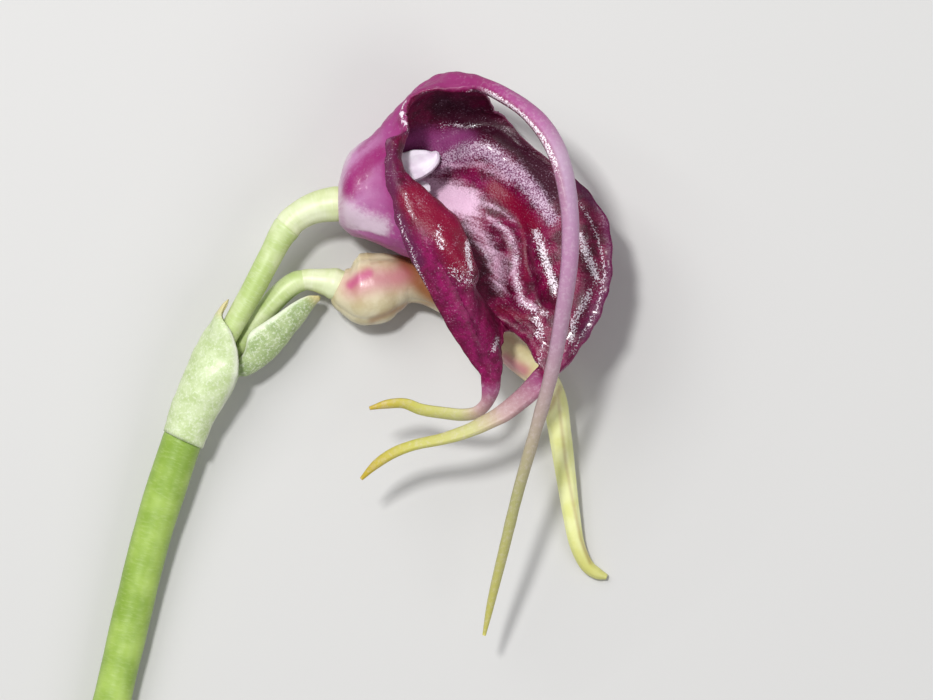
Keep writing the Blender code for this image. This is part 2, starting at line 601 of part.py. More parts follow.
def main():
    for old in list(bpy.data.objects):
        bpy.data.objects.remove(old)
    orchid = bpy.data.collections.new("masdevallia_orchid")
    bpy.context.scene.collection.children.link(orchid)
    green = material("stem_green", (0.42, 0.62, 0.16), 0.5)
    pale = material("pedicel_green", (0.62, 0.74, 0.4), 0.5)
    papery = material("bract_green", (0.66, 0.74, 0.5), 0.6)
    purple = material("sepal_purple", (0.45, 0.03, 0.16), 0.3)
    cream = material("bud_cream", (0.7, 0.66, 0.42), 0.4)
    white = material("petal_white", (0.85, 0.78, 0.8), 0.4)
    stem("peduncle", PEDUNCLE, green, orchid)
    stem("flower_pedicel", FLOWER_PEDICEL, pale, orchid)
    stem("flower_ovary", FLOWER_OVARY, pale, orchid)
    stem("bud_pedicel", BUD_PEDICEL, pale, orchid)
    stem("bud_ovary", BUD_OVARY, pale, orchid)
    make_bract("sheath", SHEATH, papery, orchid)
    make_bract("upper_bract", UPPER_BRACT, papery, orchid)
    make_calyx(purple, orchid)
    make_petal("petal_near", False, white, orchid)
    make_petal("petal_far", True, white, orchid)
    stem("column", COLUMN, white, orchid)
    loft("lip", rings_along(LIP, LIP_SIDES, 2), purple, orchid)
    loft("bud_sepals", rings_along(BUD, BUD_SIDES, 2, BUD_SEAM_DEPTH), cream, orchid)


main()
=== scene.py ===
# A cut masdevallia orchid stem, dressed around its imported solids: every node is replaced by a finer
# piece of the same form, with its folds, veins, grain and colours. Lengths here are in millimetres,
# in the part's own frame, and MM turns them into Blender's metres.

import math

import bpy
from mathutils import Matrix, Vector, noise


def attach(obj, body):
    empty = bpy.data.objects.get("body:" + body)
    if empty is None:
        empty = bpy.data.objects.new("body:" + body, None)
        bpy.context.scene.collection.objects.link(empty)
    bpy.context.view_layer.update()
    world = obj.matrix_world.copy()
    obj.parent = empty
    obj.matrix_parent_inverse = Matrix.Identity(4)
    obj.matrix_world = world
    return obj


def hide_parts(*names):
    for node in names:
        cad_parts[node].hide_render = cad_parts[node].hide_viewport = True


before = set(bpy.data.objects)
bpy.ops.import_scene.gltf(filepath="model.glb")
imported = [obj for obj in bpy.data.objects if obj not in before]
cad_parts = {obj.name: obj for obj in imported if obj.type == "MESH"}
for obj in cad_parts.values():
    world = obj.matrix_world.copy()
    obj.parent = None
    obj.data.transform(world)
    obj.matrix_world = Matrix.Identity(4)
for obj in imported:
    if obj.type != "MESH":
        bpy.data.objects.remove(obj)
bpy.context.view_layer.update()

MM = 0.001

# The camera looks straight down on the stem, which lies on the floor
PHOTO_WIDTH = 933
PIXELS_PER_MM = 12.0
SHARP_HEIGHT = 8.0
CAMERA_HEIGHT = 600.0
CAMERA_OVER = (10.375, 6.75)
SENSOR_WIDTH = 36.0
CLIP_START = 0.01

# Soft studio: each light's name, place, size and power, and the point that they all face
LIGHTS = (
    ("near_light", (-110.0, 150.0, 520.0), 60.0, 2.0),
    ("key_light", (-170.0, 190.0, 300.0), 220.0, 0.55),
    ("fill_light", (260.0, -140.0, 300.0), 260.0, 0.4),
)
LIGHT_TARGET = Vector((8.0, 8.0, 5.0))
SKY_COLOUR = (0.93, 0.95, 1.0, 1.0)
SKY_STRENGTH = 0.26
FLOOR_METRES = 4.0

# Walls, the share of the calyx's wall that is left at its rim, the share of a sheet's wall that is
# left at its edges, and how many rows and columns in from an edge it is whole again
SEPAL_WALL = 0.62
RIM_SHARE = 0.4
PETAL_WALL = 0.5
BRACT_WALL = 0.4
EDGE_SHARE = 0.25
EDGE_STEPS = 3

# Unevenness: pairs of a height and how many waves there are in a millimetre
SEPAL_CRUMPLES = ((0.1, 0.9), (0.05, 2.2))
BRACT_CRUMPLES = ((0.08, 0.9), (0.03, 2.5))
TAIL_SWELLING = ((0.05, 0.7),)
GROOVED_CRUMPLE = 0.012

# What turns a soft mark into a share of its colour, and grains into specks of painted glint
MARK_EDGE = (0.1, 0.95)
SPECK_LIFT = 0.32
SPECK_EDGE = (0.72, 0.86)

# The shares of a lofted end's size that its rings take, so that a cut face can be told from the skin,
# and how much a carried-on end narrows
END_RINGS = (0.02, 0.5, 0.9, 1.0)
RUN_ON_SHARE = 0.9

UP = Vector((0.0, 0.0, 1.0))

# Routes of the stalks and the column: centre and radius. They follow the solids, and the peduncle's
# end is wider where the sheath hides it.
PEDUNCLE = (
    ((-21.05, -29.45, 1.54), 1.62), ((-19.4, -22.4, 1.85), 1.58), ((-17.65, -15, 2.15), 1.62),
    ((-16.4, -10, 2.45), 1.62), ((-14.9, -5, 2.8), 1.68), ((-13.62, -1.2, 3.1), 1.7),
    ((-13.3, -0.3, 3.2), 1.6), ((-13, 0.4, 3.25), 1.05), ((-12.5, 1.6, 3.45), 0.95),
    ((-11.75, 3.4, 3.75), 0.85),
)
FLOWER_PEDICEL = (
    ((-11.35, 4.3, 4), 0.75), ((-10.2, 6.9, 4.4), 0.85), ((-8.35, 10.3, 4.7), 0.95),
    ((-7.2, 12.4, 4.85), 0.98), ((-6, 14.7, 4.95), 1.02), ((-5.15, 16.3, 5), 1.12),
    ((-4.72, 16.93, 5.03), 1.2),
)
FLOWER_OVARY = (
    ((-4.62, 17.08, 5.05), 1.2), ((-4.15, 17.62, 5.08), 1.2), ((-2.9, 18.42, 5.15), 1.28),
    ((-1.7, 18.82, 5.2), 1.4), ((-0.5, 18.98, 5.2), 1.5),
)
BUD_PEDICEL = (
    ((-8.85, 6.3, 3.05), 0.5), ((-7.9, 8.1, 3.1), 0.78), ((-6.3, 10.3, 3.1), 0.92),
    ((-5.3, 11.4, 3.1), 0.95), ((-4.5, 12.1, 3.1), 0.95), ((-3.9, 12.46, 3.1), 0.93),
    ((-3.5, 12.58, 3.1), 0.9),
)
BUD_OVARY = (
    ((-3.34, 12.62, 3.1), 0.88), ((-3, 12.67, 3.1), 0.9), ((-2.2, 12.6, 3.05), 1),
    ((-1.4, 12.47, 3), 1.18), ((-0.75, 12.32, 3), 1.36),
)

# The open flower's and the bud's stalks, and how far each runs on into its sheath
FLOWER_STALKS = (("flower", FLOWER_PEDICEL, 0.6, FLOWER_OVARY), ("bud", BUD_PEDICEL, 1.2, BUD_OVARY))

COLUMN = (
    ((0.7, 19.35, 5.15), 0.8), ((2.2, 20, 5.15), 0.7), ((3.8, 20.75, 5.15), 0.68),
    ((4.9, 21.15, 5.15), 0.8), ((5.2, 21.2, 5.15), 0.45),
)

# Bracts: the keel, the middle between the margins, its height, half of the width up and down, and
# the angle from the keel at which a margin ends. The sheath hides the upper bract's first entry.
SHEATH = (
    ((-14.9, -0.05), (-13.38, -0.78), 3.3, 1.65, 172), ((-14.2, 2.2), (-12.5, 1.5), 3.5, 1.8, 172),
    ((-13.5, 4), (-11.6, 3.2), 3.65, 2, 160), ((-12.9, 5.4), (-10.5, 4.75), 3.7, 2.1, 132),
    ((-12.3, 6.8), (-9.8, 5.6), 3.55, 2.25, 115), ((-11.6, 8), (-9.56, 7.08), 3.65, 2.25, 112),
    ((-10.9, 8.95), (-9.65, 8.43), 4.3, 1.75, 105), ((-10.45, 9.75), (-10.15, 9.6), 4.5, 0.85, 95),
    ((-9.6, 11), (-9.57, 10.97), 4.5, 0.3, 90),
)
UPPER_BRACT = (
    ((-10.2, 3.6), (-10.5, 4.3), 3.3, 0.7, 90), ((-8.9, 4.65), (-9.1, 5.6), 3.05, 0.8, 90),
    ((-8.15, 4.75), (-8.3, 6.5), 3.05, 1.1, 90), ((-6.6, 5.65), (-7.75, 7.9), 3.05, 1.4, 95),
    ((-5.2, 7), (-6.6, 8.95), 3.05, 1.45, 92), ((-4.2, 8.3), (-5.4, 9.85), 3, 1.4, 90),
    ((-3.2, 9.6), (-4.2, 10.75), 3, 1.2, 88), ((-2.4, 10.7), (-3, 11.35), 3, 0.8, 85),
    ((-1.9, 11.2), (-2.1, 11.35), 3, 0.3, 80),
)

# Petal: the middle line and half of the width. The far petal mirrors the near one.
NEAR_PETAL = (
    ((1, 20.2, 6.25), 0.6), ((2.6, 20.75, 6.9), 0.75), ((4.2, 21.5, 7.3), 1.05),
    ((5.06, 21.89, 7.38), 1.2), ((6.02, 22.2, 7.38), 1.2), ((7.15, 22.59, 7.32), 0.9),
    ((7.67, 22.9, 7.28), 0.56), ((7.95, 23.3, 7.25), 0.1),
)
PETAL_MIRROR_HEIGHT = 5.15
PETAL_CUP = 0.35
PETAL_COLUMNS = 24
PETAL_STEPS = 8

# Lip: the middle line, half of the width and half of the thickness
LIP = (
    ((0.95, 17.95, 5.15), 0.5, 0.55), ((2.4, 18.1, 5.15), 0.95, 0.5), ((4.2, 18.75, 5.2), 1.05, 0.45),
    ((5.7, 19.7, 5.3), 0.95, 0.45), ((6.8, 20.25, 5.4), 0.7, 0.4), ((7.35, 20.3, 5.4), 0.25, 0.2),
)

# Bud: the middle line, half of the width across it and half of the height
BUD = (
    ((-0.4, 12.26, 3), 1.45, 1.45), ((0.2, 11.98, 2.95), 2.05, 1.95), ((0.9, 11.86, 2.9), 2.68, 2.4),
    ((1.6, 11.85, 2.9), 3.03, 2.65), ((2.6, 11.97, 2.9), 3.05, 2.65), ((4, 12.38, 2.85), 2.6, 2.35),
    ((5.5, 12.62, 2.8), 2, 2), ((7, 12.3, 2.75), 1.75, 1.8), ((9, 11.2, 2.7), 1.6, 1.7),
    ((11, 9.7, 2.7), 1.5, 1.6), ((13, 8, 2.75), 1.5, 1.5), ((15, 6.2, 2.8), 1.45, 1.4),
    ((16.6, 4.6, 2.75), 1.25, 1.2), ((17.7, 2.8, 2.55), 1.05, 1), ((18.2, 0, 2.2), 0.97, 0.85),
    ((18.7, -3.5, 1.7), 0.86, 0.75), ((19.2, -7, 1.2), 0.74, 0.65), ((19.75, -9.8, 0.85), 0.64, 0.55),
    ((20.6, -11.5, 0.58), 0.57, 0.5), ((21.4, -12.1, 0.47), 0.5, 0.45),
    ((22.2, -12.4, 0.35), 0.25, 0.25),
)

# Calyx of the open flower: the tube leaves the ovary, then each vein runs on to the margin. A vein is
# the angle at which it leaves the tube's start, and its later points.
TUBE_START = Vector((-0.05, 19, 5.2))
TUBE_START_RADIUS = 1.55
SHOULDER = Vector((0.75, 19.85, 5))
SHOULDER_HALF_HEIGHT = 3.1
SHOULDER_HALF_DEPTH = 3.7
CALYX_VEINS = (
    (0, (2.6, 24.5, 4.9), (4.7, 26.7, 6), (7.1, 28.9, 7.4), (9.1, 29.6, 9), (11.2, 29.3, 10)),
    (353, (2.6, 24.4, 4.2), (4.9, 26.7, 5.2), (7.4, 28.8, 6.4), (9.3, 29.4, 7.9), (11.2, 29, 9.1)),
    (338, (2.8, 24.1, 3.2), (5.5, 26.3, 4), (8.1, 28.2, 5), (9.8, 28.6, 6.2), (11.6, 28.4, 7.4)),
    (320, (3, 23.5, 2), (6.3, 25.5, 2.8), (9, 27, 3.6), (10.9, 27.5, 4.4), (12.4, 27.4, 5.2)),
    (300, (3, 22.5, 1.1), (7.2, 24.4, 1.9), (10.6, 25.6, 2.9), (12.3, 26.2, 3.2), (13.5, 26.2, 3.6)),
    (282, (2.9, 21.3, 0.6), (7.6, 22.7, 1.8), (12, 23.5, 3.9), (14.6, 23.9, 3.4), (16.5, 23.3, 4.2)),
    (265, (2.8, 20.2, 0.35), (7.7, 20.9, 2), (12.7, 20.7, 4), (17.3, 20.6, 5.6), (19.6, 20.9, 6.4)),
    (250, (2.7, 19.1, 0.7), (7.7, 19.3, 2.5), (13.2, 18.2, 4.6), (18.9, 17.8, 7.6), (21.8, 18.2, 8.2)),
    (237, (2.5, 18.2, 1.2), (7.6, 17.8, 3.2), (13.3, 16.2, 5), (19.4, 14.6, 8.6), (22.6, 14.4, 9.2)),
    (224, (2.3, 17.4, 2.1), (7.5, 16.6, 4), (13.3, 14, 5.6), (19, 11.3, 8.9), (21.9, 10.8, 9.6)),
    (213, (2.2, 16.8, 3), (7.4, 15.8, 4.7), (13.1, 12.3, 6.1), (18, 8.7, 9), (20.3, 7.5, 9.8)),
    (205, (2.1, 16.5, 3.7), (7.3, 15.2, 5.2), (12.9, 11.3, 6.5), (17.2, 7.7, 9), (18.3, 5.1, 9.6)),
    (200, (2.1, 16.4, 4.2), (7.2, 14.9, 5.5), (12.7, 10.9, 6.8), (16.7, 7.5, 9), (17.4, 4.6, 9.5)),
    (195, (2.1, 16.3, 4.7), (7.1, 14.7, 5.8), (12.5, 10.7, 7), (16, 7.6, 8.7), (16.5, 5.4, 9.2)),
    (188, (2.1, 16.25, 5.2), (6.9, 14.4, 6.2), (11.9, 10.9, 7.2), (14.2, 8.8, 8.1), (15.7, 7.1, 8.5)),
    (180, (2.1, 16.25, 5.9), (6.7, 14.2, 6.7), (11.2, 11, 7.6), (12.7, 9.4, 8), (13.5, 8.4, 8.1)),
    (171, (2.1, 16.35, 6.6), (6.6, 14.4, 7.5), (10.8, 11.7, 8.9), (12.5, 9, 9.1), (13.3, 6.5, 8.7)),
    (163, (2.1, 16.5, 7.2), (6.5, 14.8, 8.4), (10.4, 12.6, 10.2), (12.1, 8.4, 10), (13.1, 4.7, 8.9)),
    (157, (2.2, 16.7, 7.6), (6.5, 15.1, 9), (10.2, 13.3, 11.1), (11.5, 8.3, 10.8), (12.4, 4.3, 9.1)),
    (150, (2.2, 17, 8), (6.5, 15.5, 9.6), (10.2, 14.1, 11.8), (10.9, 9, 11.7), (11.6, 4.8, 9.2)),
    (138, (2.4, 17.6, 8.5), (6.5, 16.4, 10.3), (10.3, 15.4, 12.5), (9.8, 11.6, 12.9), (9.2, 8.1, 11.2)),
    (122, (2.6, 18.7, 9), (6.2, 17.9, 10.7), (9.5, 17.3, 12.8), (7.9, 14.7, 13.8), (6.2, 13.6, 12.6)),
    (105, (2.8, 20.1, 9.1), (5.2, 19.5, 10.6), (7.3, 19.4, 12.3), (5.8, 18.2, 13), (4.5, 17.7, 12.4)),
    (88, (2.9, 21.4, 8.9), (4.2, 21.4, 9.9), (5, 21.6, 11.1), (4.5, 21.4, 11.8), (3.8, 21.2, 11.4)),
    (73, (3.1, 22.5, 8.6), (4.1, 23, 9.3), (4.8, 23.4, 10), (4.4, 23.7, 10.7), (3.7, 23.9, 10.6)),
    (60, (3.2, 23.3, 8.2), (4.3, 24.2, 8.7), (5.2, 24.7, 9.2), (5.4, 25, 9.6), (5.6, 25.2, 9.9)),
    (44, (3.1, 24, 7.6), (4.2, 25.2, 8.1), (4.9, 26, 8.7), (5.1, 26.4, 9.2), (5.2, 26.6, 9.7)),
    (26, (2.9, 24.4, 6.8), (4.4, 26.2, 7.7), (5.9, 27.7, 8.8), (6.5, 28.1, 9.6), (7, 28.3, 10.3)),
    (7, (2.7, 24.5, 5.6), (4.7, 26.6, 6.9), (7.2, 28.7, 8.4), (9.2, 29, 9.9), (11, 28.5, 10.7)),
)

# Tails: centre, width and thickness
DORSAL_TAIL = (
    ((13, 28.2, 11.7), 2, 1.3), ((15.4, 26.5, 13.4), 2.1, 1.35), ((17, 24.6, 14.6), 2.1, 1.4),
    ((18.1, 22.2, 15.5), 2, 1.4), ((18.8, 18.4, 16.1), 1.7, 1.4), ((18.85, 14.5, 16), 1.58, 1.4),
    ((18.35, 10.3, 15.3), 1.48, 1.3), ((17.4, 5, 14), 1.32, 1.2), ((16.05, 0, 12.3), 1.15, 1.05),
    ((14.65, -5, 10.4), 1.03, 0.95), ((13.45, -10, 8.5), 0.92, 0.85),
    ((12.45, -14.2, 6.8), 0.72, 0.7), ((11.85, -17.1, 5.7), 0.3, 0.3),
)
RIGHT_TAIL = (
    ((16.4, 4, 9.9), 1.9, 1.2), ((15, 2.75, 10.2), 1.8, 1.2), ((13.4, 1.5, 10.3), 1.6, 1.15),
    ((12, 0.75, 10.3), 1.45, 1.1), ((10.5, 0.05, 10.1), 1.25, 1), ((8.5, -0.6, 9.7), 1.05, 0.9),
    ((6, -1.15, 9), 0.95, 0.85), ((4.3, -1.8, 8.5), 0.95, 0.8), ((2.8, -2.8, 8), 0.8, 0.7),
    ((1.6, -4, 7.6), 0.3, 0.3),
)
LEFT_TAIL = (
    ((12.35, 3.3, 8.9), 1.4, 0.9), ((12, 2.3, 8.6), 1.15, 0.9), ((11.2, 1.55, 8.4), 1.1, 0.9),
    ((10.1, 1.35, 8.3), 1.1, 0.9), ((8.5, 1.5, 8.3), 1.1, 0.9), ((6.6, 1.8, 8.5), 1.05, 0.85),
    ((5.2, 2.3, 8.7), 0.95, 0.8), ((3.8, 2.25, 8.8), 0.8, 0.7), ((2.3, 1.9, 8.7), 0.3, 0.3),
)

# Steps between two veins and along a vein, whose places count from 0 at the ovary to the margin
AROUND_STEPS = 8
ALONG_STEPS = (6, 10, 14, 18, 18, 14)
MARGIN = len(ALONG_STEPS)

# A tail's rings, those that turn the margin's shape into its own, and its groove
TAIL_RINGS = 130
TAIL_BLEND_RINGS = 24
TAIL_GROOVE = 0.3
TAIL_GROOVE_ENDS = 0.7

# The middle of the open flower, which the dorsal tail arches over
BOWL_MIDDLE = Vector((12, 19, 8))

# The veins at whose ends the tails grow, counted round from the dorsal one
TAILS = ((0, DORSAL_TAIL), (12, RIGHT_TAIL), (18, LEFT_TAIL))

# Folds: the veins between which a fold runs, the place in a vein from which it rises, half its
# width, its height on the inner face, and the line of its crest seen from above
FOLDS = (
    (5, 14, 2, 0.85, 0.7, ((12.4, 17.8), (14.3, 15.3), (14.3, 13.7), (15.2, 10.8), (17, 9.8))),
    (5, 12, 2, 0.9, 0.8, ((16.2, 17.2), (17.1, 13.8), (17.8, 11.8), (17.9, 10.2))),
    (3, 9, 2, 0.9, 0.8, ((9, 22.8), (12, 23.9), (14.6, 21.9), (15.9, 20.1), (17.4, 17.8))),
    (5, 12, 2, 0.8, -0.4, ((12.6, 19.6), (14.6, 17.8), (15.5, 15.6), (15.6, 13.4), (16.4, 11.6))),
    (6, 12, 3, 0.6, 0.5, ((19.8, 18.9), (21.5, 15), (21.7, 12.6), (21, 10.2), (19.4, 7.2))),
    (6, 12, 3, 0.7, 0.5, ((19.9, 16.6), (20.6, 14.4), (20.8, 12.6), (20.3, 10.8), (19.2, 8.2))),
    (15, 25, 3, 0.8, 0.6, ((8.2, 17), (8.6, 15.4), (9.9, 13.4), (11, 12))),
    (15, 25, 3, 0.6, -0.4, ((7.2, 15.8), (8.8, 13.2), (9.6, 11.4), (10.8, 9), (11.6, 6.6))),
)
FOLD_ENDS = 0.2

# Waves of the free margin: their height, how many veins one takes, and where in a vein they begin
RIM_WAVE_HEIGHT = 0.2
RIM_WAVE_VEINS = 1.5
RIM_WAVE_START = 4.8
FINE_WAVE_HEIGHT = 0.07
FINE_WAVE_VEINS = 0.37

# Nicks in the free margin: how deep they are, how many a vein has, and where in a vein they begin
NICK_DEPTH = 0.28
NICKS_PER_VEIN = 2.3
NICK_START = 5.5

# Markings of the inner face, seen from above: the mark, the veins between which it lies, the place
# in a vein where it starts, half its width, its strength and its middle line. Of these, the darkest
# marks are painted shade, the grainy band is a painted speckled highlight, and the glossy marks
# also carry painted white glints
BOWL, LOBE, RIM, DORSAL = (3, 14), (15, 25), (6, 12), (26, 29)
INNER_MARKS = (
    ("bright", *LOBE, 2, 1.5, 1, ((7, 15.4), (8.6, 12.4), (10.2, 9.4), (11.6, 6.6), (12.5, 4.4))),
    ("bright", *RIM, 3, 1.2, 0.9, ((21.6, 10.5), (20.4, 7.6), (18.4, 5.6))),
    ("bright", *BOWL, 1, 0.9, 0.6, ((8, 21), (10.4, 21.2), (12, 20.4))),
    ("pale", *BOWL, 0, 1.4, 1.15, ((3, 21.4), (7, 20.1), (9.2, 19.5), (10.4, 19))),
    ("pale", *BOWL, 1, 1, 0.5, ((9.8, 18.6), (11.2, 16.8), (12.4, 15.4), (13.1, 14), (13.3, 12.2))),
    ("pale", *BOWL, 2, 0.3, 0.45, ((12, 19), (13.2, 18.4), (14.3, 17.6))),
    ("pale", *BOWL, 2, 0.3, 0.55,
     ((12.3, 17.8), (13.8, 16.5), (14.35, 15.2), (14.4, 13), (15, 10.9), (16.2, 10.2))),
    ("pale", *BOWL, 2, 0.2, 0.6, ((11.2, 15.7), (12, 14.8), (12.5, 13.4))),
    ("pale", *BOWL, 1, 0.5, 0.5, ((7.6, 21.3), (9.3, 22.3), (11, 22.6), (12.4, 22.1), (13.8, 21.3))),
    # painted speckled highlight along the ridge below the hood
    ("grain", *BOWL, 1, 0.62, 1, ((8.6, 22.7), (10.4, 23.5), (11.9, 23.5), (13.3, 22.6), (14.5, 21.3))),
    ("grain", *BOWL, 1, 0.6, 0.9, ((14.4, 21.8), (15.9, 20.1), (17, 18.6), (17.6, 17.6))),
    ("mauve", 0, 7, 0, 1.5, 1, ((4, 23.4), (6.5, 24.4), (8.5, 24.2), (10.2, 24.6))),
    ("mauve", *BOWL, 0, 0.7, 0.6, ((7, 21.8), (8.8, 22.2), (10.6, 23))),
    # painted shadow: the shade that the hood and the dorsal tail cast on the far wall
    ("dark", 0, 8, 1, 1.4, 1.1, ((8.5, 27.3), (12, 25.7), (14.4, 24), (16.4, 21.9), (17.4, 19.8))),
    ("red", *BOWL, 2, 0.8, 1, ((12.8, 20.2), (14, 19.4), (15.2, 18.3), (16, 16.9))),
    ("red", *BOWL, 2, 0.5, 0.6, ((15.2, 17.4), (15.3, 15), (15.3, 12.6))),
    ("red", *BOWL, 3, 0.6, 0.6, ((13, 9.9), (14.4, 9.5), (15.4, 9.4))),
    # painted shade in the valley beside the crest
    ("dark", *BOWL, 2, 0.6, 0.45, ((15.7, 17), (15.8, 13.6), (16.4, 11.2), (17.4, 9))),
    ("red", *LOBE, 2, 1.3, 1.1, ((6, 19.2), (7.2, 17.8), (8.8, 16.4), (9.8, 14.2))),
    # painted shade in the lobe's valley
    ("dark", *LOBE, 3, 0.3, 0.45, ((8.9, 13.2), (9.6, 11.4), (11, 8.6), (11.5, 6))),
    ("edge", *LOBE, 3, 0.8, 1.15, ((3.5, 24), (3.8, 21.6), (4.3, 18.6), (5.2, 16.2), (6.3, 14.2))),
    ("edge", *LOBE, 4, 0.4, 1, ((3.4, 23.6), (4.3, 24.8), (5.6, 25.2))),
    ("edge", *RIM, 4, 0.7, 1.1, ((19.9, 20.6), (22.1, 18.2), (22.7, 15), (22.3, 11.8), (20.4, 8))),
    # glossy places: lower roughness and more coat, and painted white glints in the skin's colour
    ("wet", *BOWL, 2, 0.42, 1.1, ((16.35, 16.5), (16.7, 15.2), (17.2, 13.6), (17.8, 11.6))),
    ("wet", *BOWL, 2, 0.2, 0.9, ((13.2, 17.2), (14.2, 15.8), (14.5, 14.2), (14.6, 12.4), (15.2, 10.6))),
    ("wet", *BOWL, 2, 0.15, 0.8, ((11.5, 15.2), (12.1, 14.5), (12.4, 13.5))),
    ("wet", *BOWL, 3, 0.3, 0.9, ((15.2, 10.5), (16.2, 10), (17.2, 9.7))),
    ("wet", *BOWL, 3, 0.5, 0.9, ((16.2, 9.3), (16.6, 8.6), (16.5, 7.9))),
    ("wet", *BOWL, 3, 0.25, 0.7, ((16.8, 7.3), (16.4, 5.6))),
    ("wet", *BOWL, 1, 0.6, 0.45, ((10.6, 23.6), (12, 23.9), (13.4, 22.9))),
    ("wet", *LOBE, 3, 0.25, 1.1, ((8.1, 16.8), (8.1, 16.1), (8.5, 15.1))),
    ("wet", *LOBE, 3, 0.3, 1.1, ((10.25, 15.6), (10.2, 14.9), (10.5, 13.3))),
    ("wet", *LOBE, 3, 0.6, 0.7, ((9.3, 13.6), (10, 12.8), (11.4, 12))),
    ("wet", *LOBE, 4, 0.3, 1, ((12.7, 7.6), (12.4, 6.8))),
    ("wet", *LOBE, 3, 0.2, 0.7, ((5.4, 19.6), (5.6, 18.4), (6.1, 17.5))),
    ("wet", *LOBE, 5, 0.2, 0.9, ((4.8, 17.9), (5.3, 16.4), (5.8, 15.4), (6.2, 14.1), (7.1, 12))),
    ("wet", *LOBE, 5, 0.16, 1, ((5.6, 25.15), (4.7, 24.95), (4.1, 24.6))),
    ("wet", *LOBE, 5, 0.3, 0.6, ((4.6, 24), (4.3, 22.8), (4.6, 21.8))),
    ("wet", *RIM, 3, 0.42, 1.1, ((20, 16.2), (20.4, 14.8), (21, 13.4), (21.2, 12.6))),
    ("wet", *RIM, 3, 0.4, 1, ((20.7, 11.6), (20.1, 10.4), (19.4, 9.2), (19.1, 7.4))),
    ("wet", *RIM, 4, 0.2, 0.9, ((19.8, 19), (20.6, 17.7), (21.2, 16.3), (21.6, 14.7), (21.9, 13.2))),
    ("wet", *RIM, 4, 0.2, 0.9, ((21.9, 13.2), (21.6, 11.5), (21.2, 10), (20.3, 8.5), (19.2, 6.5))),
    ("wet", 0, 5, 0, 0.4, 0.7, ((8.4, 25.8), (9.4, 25.8), (10.9, 25.5))),
    ("wet", *DORSAL, 5, 0.25, 1, ((5.25, 27.5), (4.95, 26.7), (5.3, 25.7), (5.6, 25.3))),
    ("wet", *DORSAL, 5, 0.18, 1, ((6.1, 28.2), (7.4, 28.6), (9.2, 28.7), (11.6, 28.2))),
)

# Markings of the outer face, in the same order
SIDE = (19, 29)
OUTER_MARKS = (
    # painted white glints along the dorsal sepal's near margin
    ("wet", 23, 29, 4, 0.3, 1, ((5.4, 27.7), (5.05, 26.8), (5.3, 25.8), (5.7, 25.2))),
    ("pale", *SIDE, 0, 1.1, 1, ((0, 18.6), (1.5, 17.6), (3.2, 17))),
    ("pale", *SIDE, 0, 0.35, 0.8, ((0, 21.4), (0.9, 23.2), (2.2, 24.8))),
    ("rose", *SIDE, 0, 0.9, 0.9, ((0.5, 19.9), (1.4, 21.2), (2.4, 22.3), (3.5, 23))),
    ("rose", *SIDE, 0, 0.35, 0.5, ((1.6, 23.2), (2.9, 24.5), (4.4, 26.2), (5.8, 27.8))),
    ("rose", *SIDE, 2, 0.7, 0.9, ((3.4, 23.4), (3.5, 21.6), (3.9, 19.6), (4.2, 18.2))),
    ("brown", *SIDE, 3, 0.6, 1, ((4.5, 15.6), (5.2, 13.9), (6.2, 12.3), (7.2, 10.8))),
)

# Markings of the bud, seen from above: the mark, half its width, its strength and its middle line
BUD_MARKS = (
    ("rose", 0.75, 0.9, ((0.7, 12.2), (1.3, 12.7), (2.2, 13.1))),
    ("rose", 1.5, 0.65, ((0.9, 12.1), (2.6, 12.6), (4.6, 12.8))),
    ("rose", 0.8, 0.7, ((13.6, 6), (14.4, 5.4), (15.2, 5))),
    ("brown", 1.3, 1.1, ((5.4, 14.6), (6, 13.6), (6.8, 12.4), (8, 11.4))),
    ("brown", 0.4, 0.6, ((2.4, 9.2), (3.8, 9.8), (5.4, 10.5), (7.2, 10.6))),
    ("brown", 0.15, 0.4, ((2.4, 14), (3.6, 14.2), (5, 14.4))),
    ("brown", 0.35, 0.5, ((18.2, 3.6), (17.6, 2.2), (17, 1.4))),
    ("brown", 0.22, 0.45,
     ((18, 3.2), (18.2, 1.6), (18.75, -2.9), (19.4, -6.4), (20, -9.2), (20.8, -11.2))),
)


def spline_point(before, start, end, after, share):
    """The point at share of the way from start to end on a centripetal Catmull-Rom curve."""
    knots = [0.0]
    for a, b in ((before, start), (start, end), (end, after)):
        knots.append(knots[-1] + max((b - a).length, 1e-6) ** 0.5)
    t = knots[1] + share * (knots[2] - knots[1])

    def mix(a, b, ta, tb):
        return a * ((tb - t) / (tb - ta)) + b * ((t - ta) / (tb - ta))

    first = mix(before, start, knots[0], knots[1])
    middle = mix(start, end, knots[1], knots[2])
    last = mix(end, after, knots[2], knots[3])
    left = mix(first, middle, knots[0], knots[2])
    right = mix(middle, last, knots[1], knots[3])
    return mix(left, right, knots[1], knots[2])


def curve_through(points, steps, closed=False):
    """Points of a smooth curve through the given ones, with steps[i] equal shares in span i."""
    points = [Vector(p) for p in points]
    count = len(points)
    spans = count if closed else count - 1
    if isinstance(steps, int):
        steps = [steps] * spans
    found = []
    for i in range(spans):
        start, end = points[i], points[(i + 1) % count]
        if closed:
            before, after = points[i - 1], points[(i + 2) % count]
        else:
            before = points[i - 1] if i else start * 2 - end
            after = points[i + 2] if i + 2 < count else end * 2 - start
        found += [spline_point(before, start, end, after, k / steps[i]) for k in range(steps[i])]
    return found if closed else found + [points[-1]]


def smooth_share(low, high, value):
    """0 on low's side, 1 on high's side, and a smooth rise between them."""
    share = min(1.0, max(0.0, (value - low) / (high - low)))
    return share * share * (3 - 2 * share)


